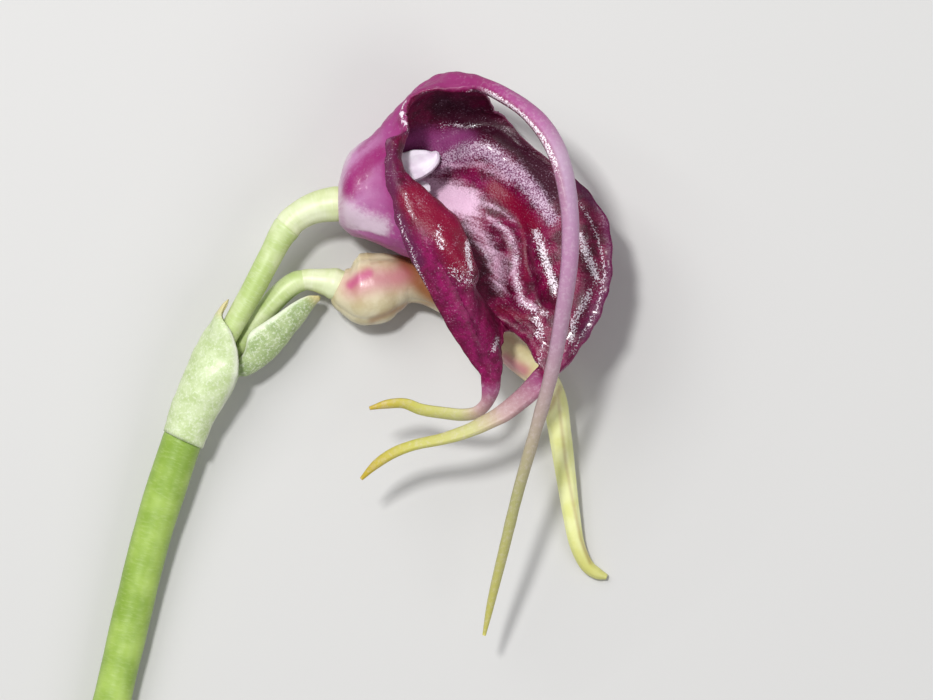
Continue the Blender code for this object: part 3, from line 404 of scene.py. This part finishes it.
def distance_to_line(x, y, line):
    """How far the point is from the line, and the share of the line at its nearest place."""
    nearest, share_there = math.inf, 0.0
    for k, ((ax, ay), (bx, by)) in enumerate(zip(line, line[1:])):
        dx, dy = bx - ax, by - ay
        share = min(1.0, max(0.0, ((x - ax) * dx + (y - ay) * dy) / (dx * dx + dy * dy)))
        away = math.hypot(x - ax - dx * share, y - ay - dy * share)
        if away < nearest:
            nearest, share_there = away, (k + share) / (len(line) - 1)
    return nearest, share_there


def uneven_by(waves, point):
    """The unevenness of these heights and paces at this point."""
    return sum(height * noise.noise(point * pace) for height, pace in waves)


def gauss(away, half_width):
    """1 on a marking's middle line, and a soft fall to 0 beside it."""
    return math.exp(-((away / half_width) ** 2))


def linear(colour):
    """Blender's linear colour for one of sRGB that is written from 0 to 255."""
    shares = [part / 255 for part in colour]
    return [part / 12.92 if part < 0.04045 else ((part + 0.055) / 1.055) ** 2.4 for part in shares] + [1.0]


def link(name, data):
    """A new object of this name and data in the scene."""
    made = bpy.data.objects.new(name, data)
    bpy.context.scene.collection.objects.link(made)
    return made


class Shader:
    """A Principled material, with short names for the nodes that it takes."""

    def __init__(self, name):
        self.material = bpy.data.materials.new(name)
        self.material.use_nodes = True
        self.tree = self.material.node_tree
        self.surface = self.tree.nodes["Principled BSDF"]
        self.place = self.node("ShaderNodeTexCoord", {}, "Object")

    def feed(self, socket, value):
        """Gives a socket a link, the attribute that a string names, a colour from 0 to 255 or a number."""
        if isinstance(value, str):
            value = self.node("ShaderNodeAttribute", {}, "Fac", attribute_name=value)
        if isinstance(value, bpy.types.NodeSocket):
            self.tree.links.new(value, socket)
        else:
            socket.default_value = linear(value) if isinstance(value, tuple) else value

    def node(self, kind, fed, output=0, **settings):
        """The output of a new node that has these settings and whose inputs are fed."""
        made = self.tree.nodes.new(kind)
        for name, setting in settings.items():
            setattr(made, name, setting)
        for key, value in fed.items():
            self.feed(made.inputs[key], value)
        return made.outputs[output]

    def set(self, **values):
        for name, value in values.items():
            self.feed(self.surface.inputs[name.replace("_", " ")], value)

    def math(self, operation, *values, clamp=False):
        fed = dict(enumerate(values))
        return self.node("ShaderNodeMath", fed, operation=operation, use_clamp=clamp)

    def times(self, first, second):
        return self.math("MULTIPLY", first, second)

    def between(self, value, low, high):
        """0 below low, 1 above high, and a smooth rise between them."""
        fed = {"Value": value, "From Min": low, "From Max": high}
        return self.node("ShaderNodeMapRange", fed, "Result", interpolation_type="SMOOTHSTEP")

    def vector(self, *values):
        return self.node("ShaderNodeCombineXYZ", dict(enumerate(values)))

    def noise(self, scale, detail=2.0, roughness=0.5, vector=None):
        fed = {"Vector": vector or self.place, "Scale": scale, "Detail": detail, "Roughness": roughness}
        return self.node("ShaderNodeTexNoise", fed, "Fac")

    def mix(self, share, first, second):
        return self.node("ShaderNodeMix", {0: share, 6: first, 7: second}, 2, data_type="RGBA")

    def tint(self, skin, value, low, high, colour, amount=1.0):
        """The skin, with up to this amount of a colour as value goes from low to high."""
        share = self.between(value, low, high)
        return self.mix(share if amount == 1.0 else self.times(share, amount), skin, colour)

    def marked(self, skin, mark, grain, colour, spread=0.8, amount=1.0):
        """The skin with a soft mark, whose edge breaks up along the grain."""
        shaken = self.math("ADD", mark, self.math("MULTIPLY_ADD", grain, spread, -spread / 2))
        return self.tint(skin, shaken, *MARK_EDGE, colour, amount)

    def specks(self, mark, grain):
        """The grains that a mark picks out as specks of painted glint: most of them where it is strong,
        none where it ends.
        """
        return self.between(self.math("MULTIPLY_ADD", mark, SPECK_LIFT, grain), *SPECK_EDGE)

    def ramp(self, value, *stops):
        made = self.node("ShaderNodeValToRGB", {"Fac": value}, "Color")
        marks = made.node.color_ramp.elements
        while len(marks) < len(stops):
            marks.new(0.5)
        for mark, (place, colour) in zip(marks, stops):
            mark.position, mark.color = place, linear(colour)
        return made

    def bump(self, height, depth, strength=1.0):
        """A bump of this many millimetres for a height from 0 to 1."""
        fed = {"Strength": strength, "Distance": depth * MM, "Height": height}
        return self.node("ShaderNodeBump", fed, "Normal")


def mesh_piece(name, points, faces, marks, finish, node):
    """A piece of these points, in millimetres, that stands for this node of the part."""
    mesh = bpy.data.meshes.new(name)
    mesh.from_pydata([tuple(p * MM) for p in points], [], faces)
    for mark, values in marks.items():
        layer = mesh.attributes.new(mark, "FLOAT", "POINT")
        layer.data.foreach_set("value", values)
    mesh.shade_smooth()
    mesh.materials.append(finish)
    piece = link(name, mesh)
    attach(piece, "root")
    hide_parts(node)


def along_at(line, k):
    """Which way a line of points runs at point k."""
    return line[min(k + 1, len(line) - 1)] - line[max(k - 1, 0)]


def ring_faces(first, second):
    """Quads between two closed rings of point numbers."""
    pairs = list(zip(first, second))
    return [(c, a, b, d) for (a, b), (c, d) in zip(pairs, pairs[1:] + pairs[:1])]


def grid_normals(grid, closed):
    """Unit normals of a grid of points, whose rows run round and columns run along."""
    rows, columns = len(grid), len(grid[0])
    normals = []
    for j in range(rows):
        line = []
        for i in range(columns):
            left = grid[j][i - 1] if i or closed else grid[j][i]
            right = grid[j][(i + 1) % columns] if i + 1 < columns or closed else grid[j][i]
            along = grid[min(j + 1, rows - 1)][i] - grid[max(j - 1, 0)][i]
            line.append((right - left).cross(along).normalized())
        normals.append(line)
    return normals


def tail_rings(loop, route):
    """Rings that carry on from the loop of points along route, from the loop's shape to an ellipse."""
    start = sum(loop, Vector()) / len(loop)
    spans = TAIL_RINGS // len(route)
    centres = curve_through([start] + [p for p, _, _ in route], spans)
    sizes = curve_through([(w, t, 0.0) for _, w, t in (route[0], *route)], spans)
    direction = (centres[1] - centres[0]).normalized()
    across = loop[len(loop) // 2 - 1] - loop[0]
    across = (across - direction * across.dot(direction)).normalized()
    up = direction.cross(across)
    flat = [((p - start).dot(across), (p - start).dot(up)) for p in loop]
    forward = [(p - start).dot(direction) for p in loop]
    steps = list(zip(flat, flat[1:] + flat[:1]))
    lengths = [0.0]
    for first, second in steps:
        lengths.append(lengths[-1] + (Vector(second) - Vector(first)).length)
    area = sum(a * d - c * b for (a, b), (c, d) in steps)
    circle = math.copysign(2 * math.pi, area)
    turn = math.atan2(flat[0][1], flat[0][0])
    angles = [turn + circle * s / lengths[-1] for s in lengths[:-1]]
    made = []
    for k in range(1, len(centres)):
        direction = along_at(centres, k).normalized()
        across = (across - direction * across.dot(direction)).normalized()
        up = direction.cross(across)
        share = smooth_share(0, TAIL_BLEND_RINGS, k)
        width, depth = sizes[k].x / 2, sizes[k].y / 2
        swell = 1 + uneven_by(TAIL_SWELLING, centres[k])
        fade = smooth_share(1.0, TAIL_GROOVE_ENDS, k / len(centres))
        ring = []
        for place, ((a, b), angle, reach) in enumerate(zip(flat, angles, forward)):
            # The inner face, the second half of the loop, is sunk to a shallow channel
            inward = max(0.0, math.sin(2 * math.pi * (place / len(flat) - 0.5)))
            sunk = swell * (1 - TAIL_GROOVE * share * inward * fade)
            x = a * (1 - share) + math.cos(angle) * width * share
            y = b * (1 - share) + math.sin(angle) * depth * share
            ahead = direction * reach * (1 - share)
            ring.append(centres[k] + across * x * sunk + up * y * sunk + ahead)
        made.append(ring)
    return made


def flank_of(ring):
    """How far each point of a tail's ring faces the bowl's side, from -1 to 1."""
    centre = sum(ring, Vector()) / len(ring)
    inward = BOWL_MIDDLE - centre
    inward.z = 0.0
    inward.normalize()
    return [(point - centre).normalized().dot(inward) for point in ring]


def calyx_row(place_in_vein):
    """One control row of the calyx: every vein's point at that place, 0 at the ovary."""
    row = []
    for angle, *places in CALYX_VEINS:
        turn = math.radians(angle)
        up, out = math.cos(turn), math.sin(turn)
        if place_in_vein == 0:
            row.append(TUBE_START + Vector((0.0, up, out)) * TUBE_START_RADIUS)
        elif place_in_vein == 1:
            offset = Vector((0.0, up * SHOULDER_HALF_HEIGHT, out * SHOULDER_HALF_DEPTH))
            row.append(SHOULDER + offset)
        else:
            row.append(Vector(places[place_in_vein - 2]))
    return row


def calyx_grid():
    """Points over the calyx, rows from the ovary to the margin, columns round from the dorsal vein."""
    places = range(MARGIN + 1)
    rows = [curve_through(calyx_row(k), AROUND_STEPS, closed=True) for k in places]
    columns = [curve_through(list(line), ALONG_STEPS) for line in zip(*rows)]
    return [list(line) for line in zip(*columns)]


def row_places():
    """The place in a vein of each row of the calyx's grid."""
    places = [k + s / steps for k, steps in enumerate(ALONG_STEPS) for s in range(steps)]
    return places + [float(MARGIN)]


def from_tails(vein):
    """How many veins away the nearest tail is."""
    veins = len(CALYX_VEINS)
    return min(abs((vein - tail + veins / 2) % veins - veins / 2) for tail, _ in TAILS)


def reaching(table, point, vein, place):
    """For each entry that reaches this point: its name, its strength here and the share of its line."""
    for *name, first, last, start, half_width, amount, line in table:
        inside = smooth_share(first - 1, first, vein) * smooth_share(last + 1, last, vein)
        inside *= smooth_share(start, start + 1, place)
        if inside:
            away, along = distance_to_line(point.x, point.y, line)
            yield name, inside * amount * gauss(away, half_width), along


def fold_height(point, vein, place):
    """How far the folds lift the inner face at this point."""
    height = 0.0
    for _, lift, along in reaching(FOLDS, point, vein, place):
        height += lift * smooth_share(0, FOLD_ENDS, along) * smooth_share(1, 1 - FOLD_ENDS, along)
    return height * smooth_share(MARGIN, RIM_WAVE_START, place)


def rim_wave(vein, place):
    """How far the margin's long and fine waves lift it at this vein, away from the tails."""
    height = RIM_WAVE_HEIGHT * math.sin(2 * math.pi * vein / RIM_WAVE_VEINS)
    height += FINE_WAVE_HEIGHT * math.sin(2 * math.pi * vein / FINE_WAVE_VEINS)
    height *= smooth_share(1, 3, from_tails(vein))
    return height * smooth_share(RIM_WAVE_START, MARGIN, place)


def crumple(point, place):
    """The small unevenness of the skin between its folds."""
    return uneven_by(SEPAL_CRUMPLES, point) * smooth_share(0.5, 2.0, place)


def marks_at(table, point, vein, place, marks):
    """Raises marks to the strength there of every marking in the table."""
    for (mark,), strength, _ in reaching(table, point, vein, place):
        marks[mark] = max(marks[mark], strength)


def nick_margin(grid, places):
    """Moves the free margin in and out, for its knobbly outline."""
    for i in range(len(grid[0])):
        vein = i / AROUND_STEPS
        outward = (grid[-1][i] - grid[-4][i]).normalized()
        depth = NICK_DEPTH * smooth_share(1, 2, from_tails(vein))
        nick = depth * noise.noise(Vector((vein * NICKS_PER_VEIN, 0.0, 0.0)))
        for place, row in zip(places, grid):
            row[i] = row[i] + outward * nick * smooth_share(NICK_START, MARGIN, place)


def sepal_wall(vein, place):
    """The calyx's wall at this place of a vein: thinner at the free margin."""
    rim = smooth_share(RIM_WAVE_START, MARGIN, place) * smooth_share(1, 2, from_tails(vein))
    return SEPAL_WALL * (1 - (1 - RIM_SHARE) * rim)


def two_faces(rows, columns, spans):
    """How a sheet's points are numbered, outer face first, and the quads of its two faces."""

    def at(j, i, side):
        return (side * rows + j) * columns + i % columns

    faces = []
    for j in range(rows - 1):
        for i in range(spans):
            faces.append((at(j, i, 1), at(j, i + 1, 1), at(j + 1, i + 1, 1), at(j + 1, i, 1)))
            faces.append((at(j, i, 0), at(j + 1, i, 0), at(j + 1, i + 1, 0), at(j, i + 1, 0)))
    return at, faces


def make_calyx(finish):
    grid, places = calyx_grid(), row_places()
    rows, columns = len(grid), len(grid[0])
    normals = grid_normals(grid, True)
    for place, row, lifted in zip(places, grid, normals):
        for i, point in enumerate(row):
            vein = i / AROUND_STEPS
            lift = fold_height(point, vein, place) + rim_wave(vein, place) + crumple(point, place)
            row[i] = point + lifted[i] * lift
    nick_margin(grid, places)
    normals = grid_normals(grid, True)
    names = sorted({entry[0] for entry in INNER_MARKS + OUTER_MARKS})
    points, marks = [], {name: [] for name in ["inner", "tail", "flank", "lateral", "vein", "row", *names]}
    for inner, table in ((0, OUTER_MARKS), (1, INNER_MARKS)):
        for j, place in enumerate(places):
            for i in range(columns):
                vein = i / AROUND_STEPS
                points.append(grid[j][i] + normals[j][i] * sepal_wall(vein, place) * (inner - 0.5))
                here = dict.fromkeys(marks, 0.0)
                here.update(inner=inner, vein=vein, row=place)
                marks_at(table, grid[j][i], vein, place, here)
                for name, value in here.items():
                    marks[name].append(value)
    at, faces = two_faces(rows, columns, columns)
    tails = [((vein - 1) * AROUND_STEPS, (vein + 1) * AROUND_STEPS, route) for vein, route in TAILS]
    under_tails = {i % columns for first, last, _ in tails for i in range(first, last)}
    top = rows - 1
    for i in set(range(columns)) - under_tails:
        faces.append((at(top, i, 1), at(top, i + 1, 1), at(top, i + 1, 0), at(top, i, 0)))
    faces.append(tuple(at(0, i, 0) for i in range(columns)))
    faces.append(tuple(at(0, i, 1) for i in reversed(range(columns))))
    for first, last, route in tails:
        loop = [at(top, i, 0) for i in range(first, last + 1)]
        loop += [at(top, i, 1) for i in range(last, first - 1, -1)]
        rings = tail_rings([points[k] for k in loop], route)
        carried = {name: [marks[name][k] for k in loop] for name in marks}
        for number, ring in enumerate(rings, 1):
            new = list(range(len(points), len(points) + len(ring)))
            points += ring
            fade = smooth_share(TAIL_BLEND_RINGS, 0, number)
            for name in names:
                marks[name] += [value * fade for value in carried[name]]
            for name in ("inner", "vein", "row"):
                marks[name] += carried[name]
            marks["tail"] += [number / len(rings)] * len(ring)
            marks["flank"] += flank_of(ring)
            marks["lateral"] += [0.0 if route is DORSAL_TAIL else 1.0] * len(ring)
            faces += ring_faces(loop, new)
            loop = new
        faces.append(tuple(loop))
    mesh_piece("fused_sepals", points, faces, marks, finish, "flower_sepals")


def open_sheet(name, grid, wall, finish, node):
    """A sheet with a free margin all round, thinner at its edges than in its middle."""
    rows, columns = len(grid), len(grid[0])
    normals = grid_normals(grid, False)
    points, marks = [], {"across": [], "along": []}
    for side in (0, 1):
        for j in range(rows):
            for i in range(columns):
                edge = min(i, columns - 1 - i, rows - 1 - j)
                thickness = wall * (EDGE_SHARE + (1 - EDGE_SHARE) * smooth_share(0, EDGE_STEPS, edge))
                points.append(grid[j][i] + normals[j][i] * thickness * (side - 0.5))
                marks["across"].append(i / (columns - 1))
                marks["along"].append(j / (rows - 1))
    last = columns - 1
    at, faces = two_faces(rows, columns, last)
    for j in range(rows - 1):
        faces.append((at(j, 0, 0), at(j, 0, 1), at(j + 1, 0, 1), at(j + 1, 0, 0)))
        faces.append((at(j, last, 1), at(j, last, 0), at(j + 1, last, 0), at(j + 1, last, 1)))
    top = rows - 1
    for i in range(last):
        faces.append((at(0, i, 0), at(0, i + 1, 0), at(0, i + 1, 1), at(0, i, 1)))
        faces.append((at(top, i, 1), at(top, i + 1, 1), at(top, i + 1, 0), at(top, i, 0)))
    mesh_piece(name, points, faces, marks, finish, node)


def make_bract(name, route, columns, steps, finish, node):
    keels = curve_through([(*keel, height) for keel, _, height, _, _ in route], steps)
    middles = curve_through([(*middle, height) for _, middle, height, _, _ in route], steps)
    spreads = curve_through([(half, math.radians(reach), 0.0) for *_, half, reach in route], steps)
    grid = []
    for keel, middle, spread in zip(keels, middles, spreads):
        row = []
        for k in range(columns + 1):
            angle = spread.y * (2 * k / columns - 1)
            point = middle + (keel - middle) * math.cos(angle)
            point.z += spread.x * math.sin(angle)
            row.append(point + (point - middle).normalized() * uneven_by(BRACT_CRUMPLES, point))
        grid.append(row)
    open_sheet(name, grid, BRACT_WALL, finish, node)


def make_petal(name, mirrored, finish, node):
    middles = curve_through([p for p, _ in NEAR_PETAL], PETAL_STEPS)
    halves = curve_through([(half, 0.0, 0.0) for _, half in NEAR_PETAL], PETAL_STEPS)
    grid = []
    for j, (middle, half) in enumerate(zip(middles, halves)):
        across = along_at(middles, j).cross(UP).normalized()
        row = []
        for k in range(PETAL_COLUMNS + 1):
            side = 2 * k / PETAL_COLUMNS - 1
            point = middle + across * half.x * side
            point.z += PETAL_CUP * half.x * side * side
            if mirrored:
                point.z = 2 * PETAL_MIRROR_HEIGHT - point.z
            row.append(point)
        grid.append(row)
    open_sheet(name, grid, PETAL_WALL, finish, node)


def run_on(route, before, after):
    """The route with its ends carried on, so that a skin runs into its neighbours."""

    def beyond(end, inner, length):
        place, step = Vector(end[0]), Vector(end[0]) - Vector(inner[0])
        return (place + step.normalized() * length, *(size * RUN_ON_SHARE for size in end[1:]))

    start = [beyond(route[0], route[1], before)] if before else []
    return [*start, *route, beyond(route[-1], route[-2], after)]


def lofted(name, route, sides, steps, shape, finish, node, table=()):
    """A solid round a line of centre, half width and half height, with shape(angle, length) as swelling."""
    centres = curve_through([p for p, *_ in route], steps)
    halves = curve_through([(sizes[0], sizes[-1], 0.0) for _, *sizes in route], steps)
    points, marks = [], {mark: [] for mark in ("along", "cut", "turn", *(entry[0] for entry in table))}
    length = 0.0
    rings = []
    for j, (centre, half) in enumerate(zip(centres, halves)):
        if j:
            length += (centre - centres[j - 1]).length
        along = along_at(centres, j)
        across = along.cross(UP).normalized()
        up = across.cross(along).normalized()
        shares = {0: END_RINGS, len(centres) - 1: END_RINGS[::-1]}.get(j, (1.0,))
        for share in shares:
            ring = []
            for k in range(sides):
                angle = 2 * math.pi * k / sides
                swell = shape(angle, length) * share
                flat = across * half.x * math.cos(angle) + up * half.y * math.sin(angle)
                point = centre + flat * swell
                ring.append(len(points))
                points.append(point)
                here = dict.fromkeys(marks, 0.0)
                here.update(along=length, turn=math.sin(angle), cut=float(share < 1))
                for mark, half_width, strength, line in table:
                    away, _ = distance_to_line(point.x, point.y, line)
                    here[mark] = max(here[mark], strength * gauss(away, half_width))
                for mark, value in here.items():
                    marks[mark].append(value)
            rings.append(ring)
    faces = []
    for first, second in zip(rings, rings[1:]):
        faces += ring_faces(first, second)
    faces.append(tuple(rings[0]))
    faces.append(tuple(reversed(rings[-1])))
    mesh_piece(name, points, faces, marks, finish, node)


def uneven(amount, wave):
    """A skin that swells and sinks a little, with waves of this many millimetres."""

    def shape(angle, length):
        place = Vector((math.cos(angle) * 1.5, math.sin(angle) * 1.5, length)) / wave
        return 1 + amount * noise.noise(place)

    return shape


def grooved(lobes, depth, start=0.0):
    """A skin with this many long grooves."""

    def shape(angle, length):
        crest = abs(math.sin(lobes * (angle - start) / 2))
        crumple_here = GROOVED_CRUMPLE * noise.noise(Vector((angle * 2, length, 0.0)))
        return 1 - depth * (1 - crest) ** 3 + crumple_here

    return shape


def inner_skin(s, grain, fine):
    """The glossy inner face: magenta, with pale, mauve and red places, painted shade, a painted speckled
    highlight and painted white glints.
    """
    skin = s.tint((76, 0, 34), s.noise(800.0, 3.0, 0.6), 0.35, 0.65, (120, 3, 62))
    skin = s.marked(skin, "mauve", fine, (144, 62, 120))
    bright = s.tint((108, 8, 62), s.noise(1700.0, 3.0, 0.7), 0.35, 0.65, (148, 20, 94))
    skin = s.marked(skin, "bright", fine, bright, amount=0.75)
    skin = s.marked(skin, "edge", grain, (96, 24, 68))
    skin = s.marked(skin, "red", grain, (124, 0, 44), 0.4)
    # painted shade, where the hood's shadow and the valleys fall
    skin = s.marked(skin, "dark", grain, (58, 8, 32), 0.3)
    # painted speckled highlight: grey and pale specks along the ridge
    speckled_highlight = s.tint((128, 76, 112), fine, 0.42, 0.6, (206, 178, 200))
    skin = s.marked(skin, "grain", fine, speckled_highlight, 1.4)
    streaks = s.vector(s.times("vein", 3.5), s.times("row", 0.8), 0.0)
    streaks = s.between(s.noise(1.0, 3.0, 0.6, streaks), 0.25, 0.75)
    shaken = s.math("ADD", s.times(streaks, 0.22), s.times(fine, 0.78))
    skin = s.marked(skin, "pale", shaken, (242, 200, 228), 1.5, 0.94)
    # painted glints: white specks where the skin is glossy, and a few stray ones all over
    stray_glints = s.specks(0.0, s.noise(6400.0, 2.0, 0.7))
    painted_glints = s.math("MAXIMUM", s.specks("wet", fine), stray_glints)
    return s.mix(s.times(painted_glints, 0.9), skin, (246, 232, 244))


def outer_skin(s, grain):
    """The duller outer face: magenta, pale at the chin and brown beside the lobe, with painted white glints
    by the dorsal margin.
    """
    skin = s.ramp(
        s.math("DIVIDE", "row", float(MARGIN)),
        (0.0, (214, 192, 208)), (0.2, (188, 130, 174)), (0.45, (158, 66, 130)),
        (0.7, (142, 36, 102)), (1.0, (138, 38, 98)),
    )
    around = s.vector(s.times("vein", 1.6), s.times("row", 0.3), 0.0)
    skin = s.tint(skin, s.noise(1.0, 3.0, 0.5, around), 0.35, 0.75, (160, 52, 124), 0.35)
    skin = s.marked(skin, "rose", grain, (146, 28, 104))
    skin = s.marked(skin, "pale", grain, (212, 188, 204))
    skin = s.marked(skin, "brown", grain, (76, 38, 50))
    skin = s.tint(skin, grain, 0.55, 0.75, (222, 186, 214), 0.18)
    # painted white glints where the glossy mark lies
    return s.mix(s.specks("wet", grain), skin, (240, 226, 238))


def tail_skin(s, fine):
    """The tails: lilac to olive on the dorsal one, purple to gold on the two others; the dorsal one's inner
    strip has painted glints.
    """
    dorsal = s.ramp(
        "tail",
        (0.0, (150, 34, 102)), (0.08, (156, 56, 122)), (0.2, (178, 104, 156)), (0.3, (194, 162, 188)),
        (0.36, (182, 146, 176)), (0.46, (174, 124, 160)), (0.58, (168, 130, 152)),
        (0.68, (172, 156, 142)), (0.78, (168, 166, 110)), (1.0, (194, 188, 92)),
    )
    strip = s.times(s.between("flank", -0.05, 0.45), s.between("tail", 0.5, 0.2))
    dorsal = s.mix(strip, dorsal, (126, 14, 68))
    # painted glints: a chain of white specks along the inner side of the dorsal tail's first third
    glint_beads = s.times(s.between("flank", 0.1, 0.35), s.between("flank", 0.95, 0.6))
    glint_beads = s.times(glint_beads, s.between("tail", 0.36, 0.3))
    dorsal = s.mix(s.specks(glint_beads, fine), dorsal, (240, 226, 236))
    side = s.ramp(
        "tail",
        (0.0, (128, 32, 88)), (0.1, (150, 76, 116)), (0.3, (184, 152, 148)), (0.48, (194, 192, 128)),
        (0.7, (192, 188, 92)), (1.0, (190, 164, 50)),
    )
    return s.mix("lateral", dorsal, side)


def sepal_finish():
    s = Shader("sepal_skin")
    grain, fine = s.noise(2600.0, 3.0, 0.7), s.noise(7000.0, 2.0, 0.7)
    skin = s.mix("inner", outer_skin(s, grain), inner_skin(s, grain, fine))
    tails = s.tint(tail_skin(s, fine), grain, 0.45, 0.7, (222, 206, 214), 0.2)
    s.set(Base_Color=s.tint(skin, "tail", 0.0, 0.08, tails))
    face = s.times("inner", s.between("tail", 0.2, 0.0))
    # the glossy marks lower the roughness and add coat and bump on the inner face
    wet = s.math("MULTIPLY", "wet", face, clamp=True)
    matt = s.math("MULTIPLY_ADD", face, -0.08, 0.5)
    s.set(Roughness=s.math("MULTIPLY_ADD", wet, -0.22, matt))
    cells = s.node("ShaderNodeTexVoronoi", {"Vector": s.place, "Scale": 5200.0}, "Distance")
    papillae = s.math("SUBTRACT", 1.0, cells)
    relief = s.math("ADD", s.times(papillae, 0.5), s.times(fine, 0.5))
    strength = s.math("MULTIPLY_ADD", face, 0.3, 0.15)
    strength = s.math("ADD", strength, s.times(wet, 0.5), clamp=True)
    s.set(Normal=s.bump(relief, 0.12, strength), Coat_Weight=s.math("MULTIPLY_ADD", wet, 0.8, 0.04))
    s.set(Coat_Roughness=0.14, Specular_IOR_Level=0.3)
    return s.material


def stalk_finish(name, light, dark, streak):
    s = Shader(name)
    split = s.node("ShaderNodeSeparateXYZ", {0: s.place}).node
    across = [s.times(split.outputs[k], 1500.0) for k in (0, 2)]
    bands = s.noise(1.0, 3.0, 0.6, s.vector(across[0], s.times("along", 5.0), across[1]))
    skin = s.tint(dark, s.noise(300.0, 3.0), 0.3, 0.7, light)
    skin = s.tint(skin, bands, 0.45, 0.75, streak, 0.25)
    # painted shade: the stalk darkens from its top down the flanks to its underside
    skin = s.tint(skin, "turn", 0.75, 0.0, dark, 0.55)
    skin = s.mix("cut", skin, (214, 222, 160))
    s.set(Base_Color=skin, Roughness=0.45, Normal=s.bump(bands, 0.05, 0.4))
    s.set(Coat_Weight=0.12, Coat_Roughness=0.3)
    return s.material


def bract_finish(name, light, dark):
    s = Shader(name)
    specks, patches = s.noise(4200.0, 3.0, 0.7), s.noise(900.0, 3.0, 0.6)
    skin = s.tint(dark, patches, 0.35, 0.65, light)
    skin = s.tint(skin, specks, 0.48, 0.64, (232, 238, 216), 0.5)
    margin = s.math("ABSOLUTE", s.math("MULTIPLY_ADD", "across", 2.0, -1.0))
    skin = s.tint(skin, margin, 0.86, 0.98, (236, 240, 222), 0.7)
    skin = s.tint(skin, "along", 0.8, 0.95, (216, 198, 140), 0.8)
    s.set(Base_Color=skin, Roughness=0.5, Normal=s.bump(specks, 0.06, 0.5))
    s.set(Coat_Weight=0.15, Coat_Roughness=0.25)
    return s.material


def petal_finish():
    s = Shader("petal_skin")
    skin = s.tint((222, 200, 222), s.noise(600.0, 3.0), 0.3, 0.7, (242, 232, 244))
    s.set(Base_Color=skin, Roughness=0.4, Normal=s.bump(s.noise(3000.0), 0.03, 0.4))
    return s.material


def bud_finish():
    s = Shader("bud_skin")
    grain, patches = s.noise(3200.0, 2.0, 0.6), s.noise(600.0, 3.0)
    cream = s.tint((202, 188, 146), patches, 0.35, 0.65, (222, 212, 178))
    yellow = s.tint((230, 232, 150), patches, 0.35, 0.65, (240, 242, 176))
    skin = s.tint(cream, "along", 15.0, 25.0, yellow)
    skin = s.tint(skin, "along", 33.0, 37.0, (190, 186, 90), 0.7)
    skin = s.tint(skin, "brown", 0.05, 1.0, (148, 94, 54))
    skin = s.tint(skin, "rose", 0.05, 1.1, (190, 70, 126))
    s.set(Base_Color=skin, Roughness=0.38, Normal=s.bump(grain, 0.06, 0.5))
    s.set(Coat_Weight=0.25, Coat_Roughness=0.2)
    return s.material


def make_stage():
    bpy.ops.mesh.primitive_plane_add(size=FLOOR_METRES)
    floor = bpy.context.object
    floor.name = "floor"
    s = Shader("floor_paint")
    s.set(Base_Color=(205, 204, 202), Roughness=0.8)
    floor.data.materials.append(s.material)


def make_light():
    world = bpy.data.worlds.new("studio")
    bpy.context.scene.world = world
    world.use_nodes = True
    sky = world.node_tree.nodes["Background"].inputs
    sky["Color"].default_value = SKY_COLOUR
    sky["Strength"].default_value = SKY_STRENGTH
    for name, place, size, power in LIGHTS:
        light = bpy.data.lights.new(name, "AREA")
        light.size = size * MM
        light.energy = power
        lamp = link(name, light)
        lamp.location = Vector(place) * MM
        lamp.rotation_mode = "QUATERNION"
        lamp.rotation_quaternion = (LIGHT_TARGET - Vector(place)).to_track_quat("-Z", "Y")


def make_camera():
    camera = bpy.data.cameras.new("camera")
    camera.sensor_width = SENSOR_WIDTH
    focal_pixels = PIXELS_PER_MM * (CAMERA_HEIGHT - SHARP_HEIGHT)
    camera.lens = focal_pixels * SENSOR_WIDTH / PHOTO_WIDTH
    camera.clip_start = CLIP_START
    view = link("camera", camera)
    view.location = Vector((*CAMERA_OVER, CAMERA_HEIGHT)) * MM
    bpy.context.scene.camera = view
    bpy.context.scene.view_settings.view_transform = "Standard"


make_stage()
make_light()
make_camera()

green = stalk_finish("peduncle_skin", (168, 196, 92), (130, 162, 54), (196, 214, 140))
pale_green = stalk_finish("pedicel_skin", (214, 224, 174), (172, 194, 112), (232, 238, 210))
cream_green = stalk_finish("ovary_skin", (224, 230, 192), (196, 208, 144), (236, 240, 218))
white = petal_finish()
sheath_skin = bract_finish("sheath_skin", (204, 218, 170), (184, 202, 142))
bract_skin = bract_finish("upper_bract_skin", (174, 192, 136), (148, 170, 110))
thin_skin, ribbed_skin = uneven(0.03, 2.0), grooved(6, 0.03)
lofted("peduncle_stalk", PEDUNCLE, 48, 16, uneven(0.03, 2.5), green, "peduncle")
for head, stalk, hidden, ovary in FLOWER_STALKS:
    pedicel, neck = run_on(stalk, hidden, 0.4), run_on(ovary, 0, 0.7)
    lofted(f"{head}_stalk", pedicel, 40, 12, thin_skin, pale_green, f"{head}_pedicel")
    lofted(f"{head}_ovary_skin", neck, 48, 12, ribbed_skin, cream_green, f"{head}_ovary")
lofted("bud_closed_sepals", BUD, 96, 10, grooved(3, 0.06, 0.5), bud_finish(), "bud_sepals", BUD_MARKS)
make_bract("sheath_leaf", SHEATH, 48, 8, sheath_skin, "sheath")
make_bract("upper_bract_leaf", UPPER_BRACT, 40, 8, bract_skin, "upper_bract")
make_petal("near_petal", False, white, "petal_near")
make_petal("far_petal", True, white, "petal_far")
lofted("column_body", COLUMN, 32, 8, uneven(0.02, 1.0), white, "column")
lofted("lip_tongue", LIP, 32, 10, uneven(0.03, 1.0), white, "lip")
make_calyx(sepal_finish())
